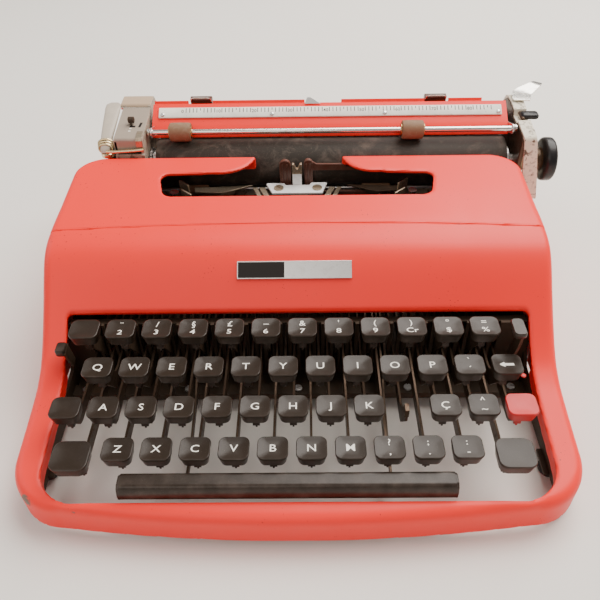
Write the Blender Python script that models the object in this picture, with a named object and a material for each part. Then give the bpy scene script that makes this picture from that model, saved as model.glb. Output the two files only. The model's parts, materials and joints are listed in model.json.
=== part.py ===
"""A small portable typewriter: shell, ribbon cover, chassis, keyboard, type basket and sliding carriage.

Sizes in this file are millimetres and the helpers turn them into metres. The model is laid out in
"machine" coordinates: x = 0 on the middle of the shell, +X to the typist's right, y = 0 at the middle
of the lowest letter row, +Y to the back, z = 0 on the desk. An empty called frame_origin then shifts
everything so that the world origin is the bottom centre of the whole object's box.
"""

import math

import bmesh
import bpy
from mathutils import Matrix, Vector

MM = 0.001
GAP = 0.3

# Shell
HALF_WIDTH = 148.6
WALL = 2.6
SHELL_BOTTOM = 4.0
FRONT_Y = -31.8
FRONT_BOW = 7.8
FRONT_CORNER = 28.0
HOOD_REAR_Y = 203.6
HOOD_CORNER = 20.0
BASE_REAR_Y = 288.0
BASE_CORNER = 24.0
BASE_TOP = 46.0
OPENING_HALF_WIDTH = 133.0
OPENING_FRONT_Y = -21.0
OPENING_REAR_Y = 80.4
OPENING_CORNER = 20.0
COVER_SIDE_BOTTOM = 62.0
SEAM_Y = 127.0
SEAM_BOW = 5.0

# Keyboard
PITCH = 19.72
ROW_PITCH = 19.25
ROW_STEP = 9.43
LOWEST_CAP_TOP = 40.0
CAP_HEIGHT = 7.0
CAP_WIDTH = 15.6
CAP_DEPTH = 14.4
SHIFT_CAP_WIDTH = 18.8
SHIFT_CAP_DEPTH = 17.5
LEVER = 1.6
FULCRUM_Y = 206.0
FULCRUM_Z = 27.0
FULCRUM_R = 2.0
FORK_END_Y = 212.0
FORK_SLOT = 2.4
LEVER_HALF_DEPTH = 4.0
COMB_Y = 76.0
# The bars that join a row of levers lie behind the forks of all the others
ROW_BAR_Y = (220.0, 224.0)
ROW_BAR_HEIGHT = 2.6
# The shaft that joins the two shift levers passes over all the others
SHIFT_SHAFT_Y = (160.0, 164.0)
SHIFT_SHAFT_Z = (37.5, 40.0)
SHIFT_CAPS_X = (-114.3, 109.6)
SHIFT_LEVERS_X = (-110.7, 106.3)
SPACE_ARMS_X = (-58.75, 49.3)
# Each row: name, x of its first key, number of keys, row number counted from the front
ROWS = (
    ("number_row", -95.6, 11, 3),
    ("letter_row", -105.9, 11, 2),
    ("home_row", -100.7, 11, 1),
    ("bottom_row", -91.3, 10, 0),
)
BARE_LEVER = 8

# Carriage, at the place where it stands in the middle of a line
PLATEN_Y = 222.0
PLATEN_Z = 72.0
PLATEN_R = 17.0
PLATEN_X = (-99.0, 146.0)
LEFT_PLATE_X = (-125.0, -105.0)
RIGHT_PLATE_X = (153.0, 162.5)
RIGHT_FOOT_X = 172.3
KNOB_X = (173.5, 182.0)
KNOB_R = 15.3
SHAFT_R = 4.0
BAIL_Y = 221.5
BAIL_Z = 96.6
BAIL_R = 1.9
BAIL_PIVOT_Y = 248.0
BAIL_PIVOT_Z = 86.0
BAIL_X = (-104.4, 152.4)
BAIL_ROLLERS_X = (-81.0, 80.0)
CARRIAGE_BOTTOM = 48.5
END_PLATE_BOTTOM = 49.0

# Type basket
BASKET_X = 1.5
BASKET_Y = 192.0

# The middle of the object's box: the shell's left side to the knob, and the shell's front to its back
BOX_MIDDLE_X = (KNOB_X[1] - HALF_WIDTH) / 2
BOX_MIDDLE_Y = (FRONT_Y + BASE_REAR_Y) / 2


def clear_scene():
    for obj in list(bpy.data.objects):
        bpy.data.objects.remove(obj, do_unlink=True)
    for mesh in list(bpy.data.meshes):
        bpy.data.meshes.remove(mesh)


def material(name, colour, roughness, metallic=0.0):
    found = bpy.data.materials.get(name)
    if found:
        return found
    made = bpy.data.materials.new(name)
    made.use_nodes = True
    shader = made.node_tree.nodes["Principled BSDF"]
    shader.inputs["Base Color"].default_value = (*colour, 1.0)
    shader.inputs["Roughness"].default_value = roughness
    shader.inputs["Metallic"].default_value = metallic
    return made


def red_paint():
    return material("red_paint", (0.80, 0.06, 0.045), 0.35)


def dark_plastic():
    return material("dark_plastic", (0.035, 0.024, 0.020), 0.35)


def red_plastic():
    return material("red_plastic", (0.75, 0.04, 0.04), 0.35)


def bright_metal():
    return material("bright_metal", (0.72, 0.70, 0.66), 0.22, 1.0)


def dark_metal():
    return material("dark_metal", (0.06, 0.05, 0.045), 0.5, 0.6)


def grey_paint():
    return material("grey_paint", (0.52, 0.48, 0.42), 0.5)


def black_rubber():
    return material("black_rubber", (0.03, 0.03, 0.03), 0.8)


def brown_rubber():
    return material("brown_rubber", (0.22, 0.12, 0.07), 0.7)


def cream_plastic():
    return material("cream_plastic", (0.80, 0.76, 0.66), 0.5)


# Solids, in machine millimetres. Each function returns a plain mesh object to combine or keep.


def new_object(name, bm):
    bmesh.ops.recalc_face_normals(bm, faces=bm.faces)
    mesh = bpy.data.meshes.new(name)
    bm.to_mesh(mesh)
    bm.free()
    obj = bpy.data.objects.new(name, mesh)
    bpy.context.scene.collection.objects.link(obj)
    return obj


def prism(axis, points, low, high):
    """Extrudes an outline along an axis. Points are (y, z) for X, (x, z) for Y and (x, y) for Z."""
    place = {
        "X": lambda a, b, c: (c, a, b),
        "Y": lambda a, b, c: (a, c, b),
        "Z": lambda a, b, c: (a, b, c),
    }[axis]
    bm = bmesh.new()
    first = [bm.verts.new(place(a, b, low)) for a, b in points]
    last = [bm.verts.new(place(a, b, high)) for a, b in points]
    bm.faces.new(first)
    bm.faces.new(last[::-1])
    for i in range(len(points)):
        j = (i + 1) % len(points)
        bm.faces.new((first[i], last[i], last[j], first[j]))
    return new_object("prism", bm)


def box(x, y, z):
    return prism("Z", [(x[0], y[0]), (x[1], y[0]), (x[1], y[1]), (x[0], y[1])], z[0], z[1])


def arc(centre, radius, start, end, steps):
    """Points on a circle from one angle to another, in degrees, both ends included."""
    points = []
    for i in range(steps + 1):
        angle = math.radians(start + (end - start) * i / steps)
        points.append((centre[0] + radius * math.cos(angle), centre[1] + radius * math.sin(angle)))
    return points


def rod(axis, centre, radius, low, high, sides=16):
    points = arc(centre, radius, 0, 360 - 360 / sides, sides - 1)
    return prism(axis, points, low, high)


def loft(outlines):
    """Closes a stack of outlines with equal point counts, each a list of (x, y, z), into one solid."""
    bm = bmesh.new()
    rings = [[bm.verts.new(point) for point in outline] for outline in outlines]
    bm.faces.new(rings[0])
    bm.faces.new(rings[-1][::-1])
    for lower, upper in zip(rings, rings[1:]):
        for i in range(len(lower)):
            j = (i + 1) % len(lower)
            bm.faces.new((lower[i], upper[i], upper[j], lower[j]))
    return new_object("loft", bm)


def combined(base, add=(), cut=(), keep=()):
    """Bakes Boolean unions, cuts and intersections into the base object's mesh."""
    jobs = [(tool, "UNION") for tool in add]
    jobs += [(tool, "INTERSECT") for tool in keep]
    jobs += [(tool, "DIFFERENCE") for tool in cut]
    for tool, operation in jobs:
        step = base.modifiers.new(operation.lower(), "BOOLEAN")
        step.object = tool
        step.operation = operation
        step.solver = "EXACT"
    bpy.context.view_layer.update()
    graph = bpy.context.evaluated_depsgraph_get()
    baked = bpy.data.meshes.new_from_object(base.evaluated_get(graph))
    base.modifiers.clear()
    base.data = baked
    for tool, _ in jobs:
        bpy.data.objects.remove(tool, do_unlink=True)
    return base


def copied(obj):
    twin = obj.copy()
    twin.data = obj.data.copy()
    bpy.context.scene.collection.objects.link(twin)
    return twin


def node(name, obj, look, pivot=(0.0, 0.0, 0.0), smooth=False):
    """Names a finished piece, turns it into metres and puts its origin on its pivot."""
    pivot = Vector(pivot)
    obj.name = name
    obj.data.name = name
    obj.data.transform(Matrix.Scale(MM, 4) @ Matrix.Translation(-pivot))
    obj.data.materials.clear()
    obj.data.materials.append(look)
    if smooth:
        obj.data.shade_smooth()
        obj.data.set_sharp_from_angle(angle=math.radians(35))
    obj.location = pivot * MM
    obj.parent = frame_origin
    return obj


# Shell and ribbon cover


def plan_outline(inset, rear_y, rear_corner):
    """The footprint: a bowed front, round corners and straight sides."""
    half = HALF_WIDTH - inset
    front_r = FRONT_CORNER - inset
    rear_r = rear_corner - inset
    rear = rear_y - inset
    turn = half - front_r
    side_front = FRONT_Y + FRONT_BOW + inset
    points = []
    steps = 8
    for i in range(steps + 1):
        x = -turn + 2 * turn * i / steps
        points.append((x, side_front - FRONT_BOW * (1 - (x / turn) ** 2)))
    points += arc((turn, side_front + front_r), front_r, -90, 0, 5)[1:]
    points += arc((half - rear_r, rear - rear_r), rear_r, 0, 90, 4)
    points += arc((rear_r - half, rear - rear_r), rear_r, 90, 180, 4)
    points += arc((-turn, side_front + front_r), front_r, 180, 270, 5)[:-1]
    return points


# The top line of the shell seen from the side, as (y, z) points from the front lip to the hood
TOP_LINE = (
    (-40.0, 15.0), (-32.0, 16.5), (-29.0, 20.5), (-24.0, 23.5), (0.0, 27.0), (28.0, 31.0), (45.0, 34.0),
    (56.0, 38.5), (66.0, 45.5), (76.0, 54.5), (86.0, 64.0), (95.0, 73.0), (102.0, 79.5),
    (108.0, 83.5), (117.0, 86.0), (130.0, 87.3), (160.0, 88.0), (196.0, 88.0), (201.0, 86.5),
    (HOOD_REAR_Y, 83.0),
)


def shell_solid(inset, drop, bottom):
    """The outside of the shell as one solid block; a second, smaller one is its hollow."""
    top = [(y, z - drop) for y, z in TOP_LINE]
    rear = HOOD_REAR_Y - inset
    top[-1] = (rear, top[-1][1])
    top[-2] = (min(top[-2][0], rear - 0.5), top[-2][1])
    hood = prism("X", [(-40.0, bottom), *top, (rear, bottom)], -160.0, 160.0)
    hood = combined(hood, keep=[prism("Z", plan_outline(inset, HOOD_REAR_Y, HOOD_CORNER), -20, 120)])
    base = prism("Z", plan_outline(inset, BASE_REAR_Y, BASE_CORNER), bottom, BASE_TOP - drop)
    base = combined(base, keep=[box((-160, 160), (100, 300), (bottom - 1, 60))])
    return combined(hood, add=[base])


def opening_outline(grow, rear_y):
    half = OPENING_HALF_WIDTH + grow
    front = OPENING_FRONT_Y - grow
    corner = OPENING_CORNER + grow
    points = arc((half - corner, front + corner), corner, -90, 0, 4)
    points += [(half, rear_y), (-half, rear_y)]
    points += arc((corner - half, front + corner), corner, 180, 270, 4)
    return points


def cover_window():
    """The opening over the type basket, with the gap in the rear edge for the type guide."""
    points = [(-79.0, 156.5), (79.0, 156.5), (88.0, 168.0), (88.0, 181.5), (60.0, 183.0)]
    points += arc((52.0, 203.0), 20.5, -80, -180, 4)
    points += [(31.5, 215.0), (-29.5, 215.0)]
    points += arc((-52.0, 203.0), 22.5, 0, -100, 4)
    points += [(-62.0, 180.5), (-89.0, 181.5), (-89.0, 168.0)]
    return points


def seam_region(shift, low):
    """Everything behind the seam arc and above the cover's side edges."""
    points = []
    for i in range(9):
        x = -160.0 + 40.0 * i
        points.append((x, SEAM_Y + shift - SEAM_BOW * (x / HALF_WIDTH) ** 2))
    points += [(160.0, 230.0), (-160.0, 230.0)]
    return prism("Z", points, low, 120.0)


def build_shell():
    outside = shell_solid(0.0, 0.0, SHELL_BOTTOM)
    hollow = shell_solid(WALL, WALL + 0.4, SHELL_BOTTOM - 10.0)
    # The hem round the keyboard opening hangs down inside the rails
    hem_top = [(y, z - 9.0) for y, z in TOP_LINE if y < 60]
    hem = prism("X", [*hem_top, (58.0, 120.0), (-40.0, 120.0)], -160, 160)
    hem = combined(hem, keep=[prism("Z", opening_outline(2.0, 57.0), -20, 150)])
    hollow = combined(hollow, cut=[hem])
    keyboard = prism("Z", opening_outline(0.0, OPENING_REAR_Y), -20, 150)
    bay = box((-138.0, 138.0), (206.5, 277.0), (36.0, 60.0))
    throat = box((-128.0, 128.0), (196.0, 207.0), (-10.0, 79.5))
    shell = combined(outside, cut=[hollow, keyboard, bay, throat])
    cover = combined(copied(shell), keep=[seam_region(0.15, COVER_SIDE_BOTTOM)])
    cover = combined(cover, cut=[prism("Z", cover_window(), 60, 120)])
    body = combined(shell, cut=[seam_region(-0.15, COVER_SIDE_BOTTOM - GAP)])
    node("body_shell", body, red_paint())
    node("ribbon_cover", cover, red_paint())


# Keyboard


def row_place(row):
    return row * ROW_PITCH, LOWEST_CAP_TOP + row * ROW_STEP


def cap_solid(x, y, top, width=CAP_WIDTH, depth=CAP_DEPTH, height=CAP_HEIGHT):
    """A key cap: a rounded block that narrows towards its top."""
    rings = []
    for z, shrink in ((top - height, 0.8), (top - height + 1.2, 0.0), (top - 1.4, 0.6), (top, 1.8)):
        half_w = width / 2 - shrink
        half_d = depth / 2 - shrink
        corner = 3.0
        ring = []
        for sx, sy in ((1, -1), (1, 1), (-1, 1), (-1, -1)):
            first = (x + sx * half_w, y + sy * (half_d - corner), z)
            second = (x + sx * (half_w - corner), y + sy * half_d, z)
            ring += [second, first] if sx * sy < 0 else [first, second]
        rings.append(ring)
    return loft([ring[::-1] for ring in rings])


def lever_profile(y, cap_bottom, knee):
    """Side view of a key lever: fork round the fulcrum shaft, straight bar, then a slope to the cap."""
    top = FULCRUM_Z + LEVER_HALF_DEPTH
    low = FULCRUM_Z - LEVER_HALF_DEPTH
    rear = FORK_END_Y
    slot = FORK_SLOT
    head = cap_bottom + 1.0
    return [
        (y - 3.0, head), (y + 3.0, head), (y + knee + 3.0, top),
        (rear, top), (rear, FULCRUM_Z + slot), (FULCRUM_Y - slot, FULCRUM_Z + slot),
        (FULCRUM_Y - slot, FULCRUM_Z - slot), (rear, FULCRUM_Z - slot), (rear, low),
        (y + knee, low), (y - 3.0, head - 5.0),
    ]


def key_lever(x, y, cap_bottom):
    knee = max(6.0, (cap_bottom - FULCRUM_Z - 4.0) * 0.9)
    return prism("X", lever_profile(y, cap_bottom, knee), x - LEVER / 2, x + LEVER / 2)


def key_solid(x, row, lever_x=None, width=CAP_WIDTH, depth=CAP_DEPTH, y_shift=0.0, bare=False):
    y, top = row_place(row)
    y += y_shift
    lever = key_lever(x if lever_x is None else lever_x, y, top - CAP_HEIGHT)
    if bare:
        return lever
    return combined(lever, add=[cap_solid(x, y, top, width, depth)])


def key_names():
    return {
        "home_row": ("a", "s", "d", "f", "g", "h", "j", "k", "l", "accent", "circumflex"),
        "bottom_row": ("z", "x", "c", "v", "b", "n", "m", "comma", "period", "hyphen"),
    }


def joined_row(places, row):
    """A row of keys joined behind their forks: the rearmost row at the upper prongs, the other at the lower."""
    prong = (FORK_SLOT, LEVER_HALF_DEPTH)
    height = (LEVER_HALF_DEPTH - ROW_BAR_HEIGHT, LEVER_HALF_DEPTH)
    side = 1 if row == 3 else -1
    prong_z = sorted(FULCRUM_Z + side * z for z in prong)
    bar_z = sorted(FULCRUM_Z + side * z for z in height)
    bar = box((places[0] - 1.0, places[-1] + 1.0), ROW_BAR_Y, bar_z)
    parts = [key_solid(x, row) for x in places]
    for x in places:
        parts.append(box((x - LEVER / 2, x + LEVER / 2), (FORK_END_Y - 0.5, ROW_BAR_Y[0] + 0.5), prong_z))
    return combined(bar, add=parts)


def build_letter_keys():
    pivot = (0.0, FULCRUM_Y, FULCRUM_Z)
    for name, first_x, count, row in ROWS:
        places = [first_x + PITCH * i for i in range(count)]
        if name in key_names():
            for i, (x, letter) in enumerate(zip(places, key_names()[name])):
                bare = name == "home_row" and i == BARE_LEVER
                key = key_solid(x, row, bare=bare)
                node("key_" + letter, key, dark_plastic(), (x, *pivot[1:]))
            continue
        node(name + "_keys", joined_row(places, row), dark_plastic(), pivot)


def build_special_keys():
    pivot = (0.0, FULCRUM_Y, FULCRUM_Z)
    number_x, letter_x, home_x = (row[1] for row in ROWS[:3])
    look = dark_plastic()
    node("margin_release_key", key_solid(number_x - PITCH, 3), look, pivot)
    node("backspace_key", key_solid(letter_x + 11 * PITCH, 2), look, pivot)
    node("shift_lock_key", key_solid(home_x - PITCH, 1), look, pivot)
    node("tab_key", key_solid(home_x + 11 * PITCH, 1), red_plastic(), pivot)
    sizes = {"width": SHIFT_CAP_WIDTH, "depth": SHIFT_CAP_DEPTH, "y_shift": -3.8}
    left = key_solid(SHIFT_CAPS_X[0], 0, lever_x=SHIFT_LEVERS_X[0], **sizes)
    right = key_solid(SHIFT_CAPS_X[1], 0, lever_x=SHIFT_LEVERS_X[1], **sizes)
    ends = (SHIFT_LEVERS_X[0] - LEVER / 2, SHIFT_LEVERS_X[1] + LEVER / 2)
    cross = box(ends, SHIFT_SHAFT_Y, SHIFT_SHAFT_Z)
    links = []
    for x in SHIFT_LEVERS_X:
        rise = (FULCRUM_Z + 2.0, SHIFT_SHAFT_Z[0] + 1.0)
        links.append(box((x - LEVER / 2, x + LEVER / 2), SHIFT_SHAFT_Y, rise))
    node("shift_keys", combined(left, add=[right, cross, *links]), look, pivot)


def build_space_bar():
    """A long bar in front of the keys, on two arms that reach back to the fulcrum shaft."""
    bar = prism("X", [(-19.5, 24.0), (-17.6, 30.5), (-16.2, 32.6), (-14.5, 33.2), (-11.0, 33.2),
                      (-9.6, 32.0), (-9.4, 28.0), (-15.0, 26.0), (-17.0, 24.0)], -90.0, 80.0)
    # The arms dip under the caps of the lowest row and rise again behind the front bar of the chassis
    rear = lever_profile(0.0, 40.0, 6.0)[3:9][::-1]
    profile = [(-16.0, 29.5), (-16.0, 24.5), (-9.0, 12.5), (14.0, 12.5), (44.0, 18.0), (62.0, 23.0), *rear,
               (62.0, FULCRUM_Z + 4.0), (46.0, 23.5), (14.0, 17.2), (-7.5, 17.2), (-12.0, 29.5)]
    arms = [prism("X", profile, x - 0.7, x + 0.7) for x in SPACE_ARMS_X]
    node("space_bar", combined(bar, add=arms), dark_plastic(), (0.0, FULCRUM_Y, FULCRUM_Z))


def lever_places():
    """The x of every lever that passes through the comb."""
    places = [first_x + PITCH * i for _, first_x, count, _ in ROWS for i in range(count)]
    number_x, letter_x, home_x = (row[1] for row in ROWS[:3])
    places += [number_x - PITCH, letter_x + 11 * PITCH, home_x - PITCH, home_x + 11 * PITCH]
    places += [*SHIFT_LEVERS_X, *SPACE_ARMS_X]
    return sorted(places)


# Chassis


def comb_slots():
    """The slots of the comb, one to a lever; slots that would meet are one wide slot."""
    half = 1.5
    slots = []
    for x in lever_places():
        if slots and x - half < slots[-1][1] + 0.5:
            slots[-1] = (slots[-1][0], x + half)
        else:
            slots.append((x - half, x + half))
    return slots


def build_chassis():
    side_outline = [(-8.0, 6.3), (275.0, 6.3), (275.0, 39.7), (86.0, 39.7), (70.0, 20.0), (-8.0, 14.0)]
    left = prism("X", side_outline, -138.0, -136.0)
    right = prism("X", side_outline, 136.0, 138.0)
    front_bar = box((-137.0, 137.0), (58.0, 66.0), (6.3, 11.0))
    rear_plate = box((-137.0, 137.0), (272.5, 274.5), (6.3, 39.0))
    shaft = rod("X", (FULCRUM_Y, FULCRUM_Z), FULCRUM_R, -137.0, 137.0, 12)
    teeth = [(-137.0, 6.3)]
    edge = [(137.0, 6.3), (137.0, 36.0), (130.5, 52.0)]
    for low, high in reversed(comb_slots()):
        edge += [(high, 52.0), (high, 13.2), (low, 13.2), (low, 52.0)]
    comb = prism("Y", teeth + edge + [(-126.5, 52.0), (-137.0, 36.0)], COMB_Y, COMB_Y + 2.0)
    pads = []
    for x in (-139.2, 139.2):
        for y in (12.0, 252.0):
            pads.append(box((x - 6.0, x + 6.0), (y - 8.0, y + 8.0), (6.3, 8.0)))
    chassis = combined(left, add=[right, front_bar, rear_plate, shaft, comb, *pads])
    node("chassis", chassis, dark_metal())
    for i, (x, y) in enumerate(((-139.2, 12.0), (139.2, 12.0), (-139.2, 252.0), (139.2, 252.0))):
        name = "foot_" + ("front", "rear")[i // 2] + "_" + ("left", "right")[i % 2]
        node(name, rod("Z", (x, y), 6.0, 0.0, 6.0, 16), black_rubber(), smooth=True)
    rail = box((-137.0, 137.0), (238.0, 258.0), (40.0, CARRIAGE_BOTTOM - GAP))
    rail = combined(rail, cut=[box((-150, 150), (245.0, 251.0), (44.0, 60.0))])
    node("carriage_rail", rail, bright_metal())


# Carriage


def build_carriage():
    trough = prism("X", [(214.0, 50.5), (214.0, CARRIAGE_BOTTOM), (258.5, CARRIAGE_BOTTOM), (258.5, 91.5),
                         (256.5, 91.5), (256.5, 50.5)], -104.5, 152.5)
    rack = rod("X", (254.6, 90.0), 2.6, -104.5, 152.5, 8)
    node("carriage_frame", combined(trough, add=[rack]), grey_paint())

    bottom = END_PLATE_BOTTOM
    left_outline = [(205.6, bottom), (205.6, 88.0), (207.0, 88.4), (207.0, 98.3), (208.2, 99.3),
                    (246.5, 103.0), (246.5, 104.4), (262.0, 104.4), (268.0, 96.0), (268.0, bottom)]
    left = prism("X", left_outline, *LEFT_PLATE_X)
    bore = rod("X", (PLATEN_Y, PLATEN_Z), SHAFT_R + 0.5, -160, 200, 16)
    node("left_end_plate", combined(left, cut=[bore]), grey_paint())

    # The right casting widens towards its foot, and a notch in its top holds the carriage release lever
    right_outline = [(205.6, bottom), (205.6, 95.5), (207.5, 97.8), (226.8, 100.2), (226.8, 97.2),
                     (238.4, 97.2), (238.4, 102.2), (250.0, 104.0), (262.0, 103.0), (272.0, 92.0),
                     (272.0, bottom)]
    right = prism("X", right_outline, RIGHT_PLATE_X[0], RIGHT_FOOT_X)
    front_outline = [(RIGHT_PLATE_X[0], bottom - 1.0), (RIGHT_FOOT_X + 0.1, bottom - 1.0), (RIGHT_FOOT_X, 51.0),
                     (169.0, 67.0), (RIGHT_PLATE_X[1], 97.0), (RIGHT_PLATE_X[1] - 0.8, 110.0),
                     (RIGHT_PLATE_X[0], 110.0)]
    right = combined(right, keep=[prism("Y", front_outline, 200.0, 280.0)])
    bore = rod("X", (PLATEN_Y, PLATEN_Z), SHAFT_R + 0.5, 140, 200, 16)
    node("right_end_plate", combined(right, cut=[bore]), grey_paint())

    core = rod("X", (PLATEN_Y, PLATEN_Z), PLATEN_R, *PLATEN_X, 48)
    shaft = rod("X", (PLATEN_Y, PLATEN_Z), SHAFT_R, LEFT_PLATE_X[0] - 8.5, KNOB_X[1] - 6.0, 16)
    disc = rod("X", (PLATEN_Y, PLATEN_Z), 14.5, LEFT_PLATE_X[0] - 8.5, LEFT_PLATE_X[0] - 0.6, 32)
    axis = (0.0, PLATEN_Y, PLATEN_Z)
    node("platen", combined(core, add=[shaft, disc]), black_rubber(), axis, True)

    knob = rod("X", (PLATEN_Y, PLATEN_Z), KNOB_R, *KNOB_X, 36)
    socket = rod("X", (PLATEN_Y, PLATEN_Z), SHAFT_R + GAP, KNOB_X[0] - 1, KNOB_X[1] - 5.5, 16)
    node("platen_knob", combined(knob, cut=[socket]), dark_plastic(), axis, True)


def build_paper_parts():
    table = prism("X", [(226.0, 91.0), (227.6, 90.4), (234.0, 95.0), (247.3, 103.8), (246.3, 105.7),
                        (232.0, 97.0)], -102.5, 148.5)
    node("paper_table", table, red_paint())
    # The scale lies on the table's upper face, which rises 14 mm for every 23 mm of depth
    along = Vector((23.0, 14.0)).normalized()
    out = Vector((-along.y, along.x))
    start = Vector((232.0, 97.0)) + out * GAP + along * 4.5
    corners = [start, start + along * 8.0, start + along * 8.0 + out * 1.2, start + out * 1.2]
    node("paper_scale", prism("X", [tuple(c) for c in corners], -98.0, 144.5), cream_plastic())

    bar = rod("X", (BAIL_Y, BAIL_Z), BAIL_R, *BAIL_X, 10)
    arms = []
    for x in ((BAIL_X[0], BAIL_X[0] + 1.4), (BAIL_X[1] - 1.4, BAIL_X[1])):
        outline = [(BAIL_Y - 2.5, BAIL_Z - 2.0), (BAIL_Y - 2.5, BAIL_Z + 2.5), (BAIL_Y + 1.5, BAIL_Z + 2.8)]
        outline += [(BAIL_PIVOT_Y + 2.0, BAIL_PIVOT_Z + 4.0), (BAIL_PIVOT_Y + 4.0, BAIL_PIVOT_Z - 2.0),
                    (BAIL_PIVOT_Y - 3.0, BAIL_PIVOT_Z - 3.5)]
        arms.append(prism("X", outline, *x))
    node("paper_bail", combined(bar, add=arms), bright_metal(), (0.0, BAIL_PIVOT_Y, BAIL_PIVOT_Z))
    for side, x in zip(("left", "right"), BAIL_ROLLERS_X):
        roller = rod("X", (BAIL_Y, BAIL_Z), 6.4, x - 7.5, x + 7.5, 20)
        hole = rod("X", (BAIL_Y, BAIL_Z), BAIL_R + 0.35, x - 9, x + 9, 10)
        node("bail_roller_" + side, combined(roller, cut=[hole]), brown_rubber(), (x, BAIL_Y, BAIL_Z), True)


def build_carriage_levers():
    # Line space and return lever, folded back along the left end and wider towards its tip
    lever = prism("X", [(206.0, 88.5), (206.0, 92.0), (212.0, 95.5), (226.0, 100.0), (246.0, 105.8),
                        (251.0, 105.2), (251.0, 102.4), (230.0, 97.0), (216.0, 91.5), (210.0, 88.5)],
                  -138.0, -126.0)
    taper = prism("Z", [(-135.4, 205.0), (-129.0, 205.0), (-126.2, 251.5), (-137.0, 251.5)], 80.0, 120.0)
    node("return_lever", combined(lever, keep=[taper]), bright_metal(), (-131.0, 209.0, 90.0))
    # Line space selector: a small pin lever on the left end's top
    pin = prism("X", [(221.5, 101.3), (223.5, 101.5), (226.2, 105.6), (224.4, 106.2)], -117.0, -113.0)
    node("line_space_lever", pin, dark_metal(), (-115.0, 222.5, 101.3))
    # Paper release: a bent chrome plate on the right end that ends in a curled tip
    release = prism("Z", [(154.5, 247.0), (168.0, 247.0), (170.5, 258.0), (178.0, 269.5), (174.5, 273.5),
                          (160.0, 264.0), (154.5, 262.0)], 104.5, 106.1)
    tip = prism("Z", [(172.6, 262.6), (178.6, 270.0), (174.6, 274.2), (167.6, 268.2)], 105.6, 107.6)
    node("paper_release_lever", combined(release, add=[tip]), bright_metal(), (161.0, 248.0, 105.3))
    # Carriage release: a short bar in the notch of the right end's top
    bar = box((156.5, 169.0), (228.6, 236.4), (98.6, 102.8))
    node("carriage_release_lever", bar, dark_metal(), (157.5, 232.5, 100.0))
    # Margin stops on the toothed rod behind the paper table
    for side, x in (("left", -69.0), ("right", 99.5)):
        outline = [(251.0, 93.0), (256.6, 93.0), (256.6, 104.5), (251.2, 107.8), (249.2, 107.8), (249.2, 105.4)]
        stop = prism("X", outline, x - 8.0, x + 8.0)
        node("margin_stop_" + side, stop, brown_rubber(), (x, 254.0, 99.0))


# Type basket


def fan_point(radius, angle):
    turn = math.radians(angle)
    return BASKET_X + radius * math.sin(turn), BASKET_Y - radius * math.cos(turn)


def build_basket():
    """The segment with its face plate, and the ring of type bars lying in front of it."""
    half_disc = [fan_point(22.0, a) for a in range(-90, 91, 15)]
    hub = prism("Z", half_disc, 43.0, 57.0)
    post = box((BASKET_X - 5.0, BASKET_X + 5.0), (186.5, 191.5), (50.0, 67.0))
    plate_outline = [(-19.0, 187.5), (20.0, 187.5), (25.0, 199.0), (-24.0, 199.0)]
    plate = prism("Z", plate_outline, 66.0, 68.0)
    tongue = box((-3.5, 3.1), (197.4, 199.0), (66.0, 80.0))
    node("type_segment", combined(hub, add=[post, plate, tongue]), bright_metal())
    ring = [fan_point(26.0, a) for a in range(-90, 91, 15)]
    ring += [fan_point(22.6, a) for a in range(90, -91, -15)]
    bars = []
    for i in range(21):
        angle = -80.0 + 8.0 * i
        turn = math.radians(angle)
        side = Vector((math.cos(turn), math.sin(turn))) * 0.8
        near = Vector(fan_point(24.0, angle))
        far = Vector(fan_point(70.0, angle))
        corners = [near - side, far - side, far + side, near + side]
        bars.append(prism("Z", [tuple(c) for c in corners], 46.0, 51.0))
    node("type_bars", combined(prism("Z", ring, 44.0, 53.0), add=bars), bright_metal())


def build_ribbon():
    fingers = []
    for low, high in ((-12.6, -4.4), (4.4, 10.8)):
        fingers.append(prism("X", [(200.2, 58.0), (203.2, 58.0), (204.4, 66.0), (203.6, 85.0), (200.6, 85.8)],
                             low, high))
    yoke = box((-12.4, 60.0), (200.2, 203.2), (56.0, 61.0))
    node("ribbon_vibrator", combined(yoke, add=fingers), dark_plastic())
    for side, x in (("left", -108.0), ("right", 108.0)):
        hub = rod("Z", (x, 164.0), 8.0, 60.0, 76.0, 16)
        low = rod("Z", (x, 164.0), 21.0, 60.0, 61.2, 28)
        high = rod("Z", (x, 164.0), 21.0, 74.8, 76.0, 28)
        wound = rod("Z", (x, 164.0), 15.5, 60.5, 75.5, 24)
        node("ribbon_spool_" + side, combined(hub, add=[low, high, wound]), dark_metal(), (x, 164.0, 60.0), True)


def build_front_levers():
    arm = prism("X", [(48.0, 60.0), (46.0, 71.0), (57.0, 73.0), (56.0, 60.0), (62.0, 34.0), (56.0, 32.0)],
                117.7, 120.1)
    pad = box((113.9, 121.0), (45.5, 57.5), (70.5, 73.5))
    node("ribbon_colour_lever", combined(arm, add=[pad]), dark_plastic(), (118.9, 59.0, 34.0))
    arm = prism("X", [(55.0, 51.0), (63.0, 52.0), (66.0, 36.0), (60.0, 34.0)], -131.6, -129.4)
    pad = box((-135.6, -129.6), (55.5, 63.0), (48.5, 52.5))
    node("tab_set_lever", combined(arm, add=[pad]), dark_plastic(), (-130.5, 63.0, 35.0))


clear_scene()
frame_origin = bpy.data.objects.new("frame_origin", None)
frame_origin.location = (-BOX_MIDDLE_X * MM, -BOX_MIDDLE_Y * MM, 0.0)
bpy.context.scene.collection.objects.link(frame_origin)
build_shell()
build_letter_keys()
build_special_keys()
build_space_bar()
build_chassis()
build_carriage()
build_paper_parts()
build_carriage_levers()
build_basket()
build_ribbon()
build_front_levers()
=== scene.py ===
"""The looks of a small portable typewriter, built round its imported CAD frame.

Lengths are millimetres in machine coordinates, as in the part's source: x = 0 on the middle of the
shell, y = 0 at the middle of the lowest letter row, z = 0 on the desk. at() turns them into the frame's
metres, with the machine's origin read from the frame.
"""

import json
import math
import random

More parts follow.
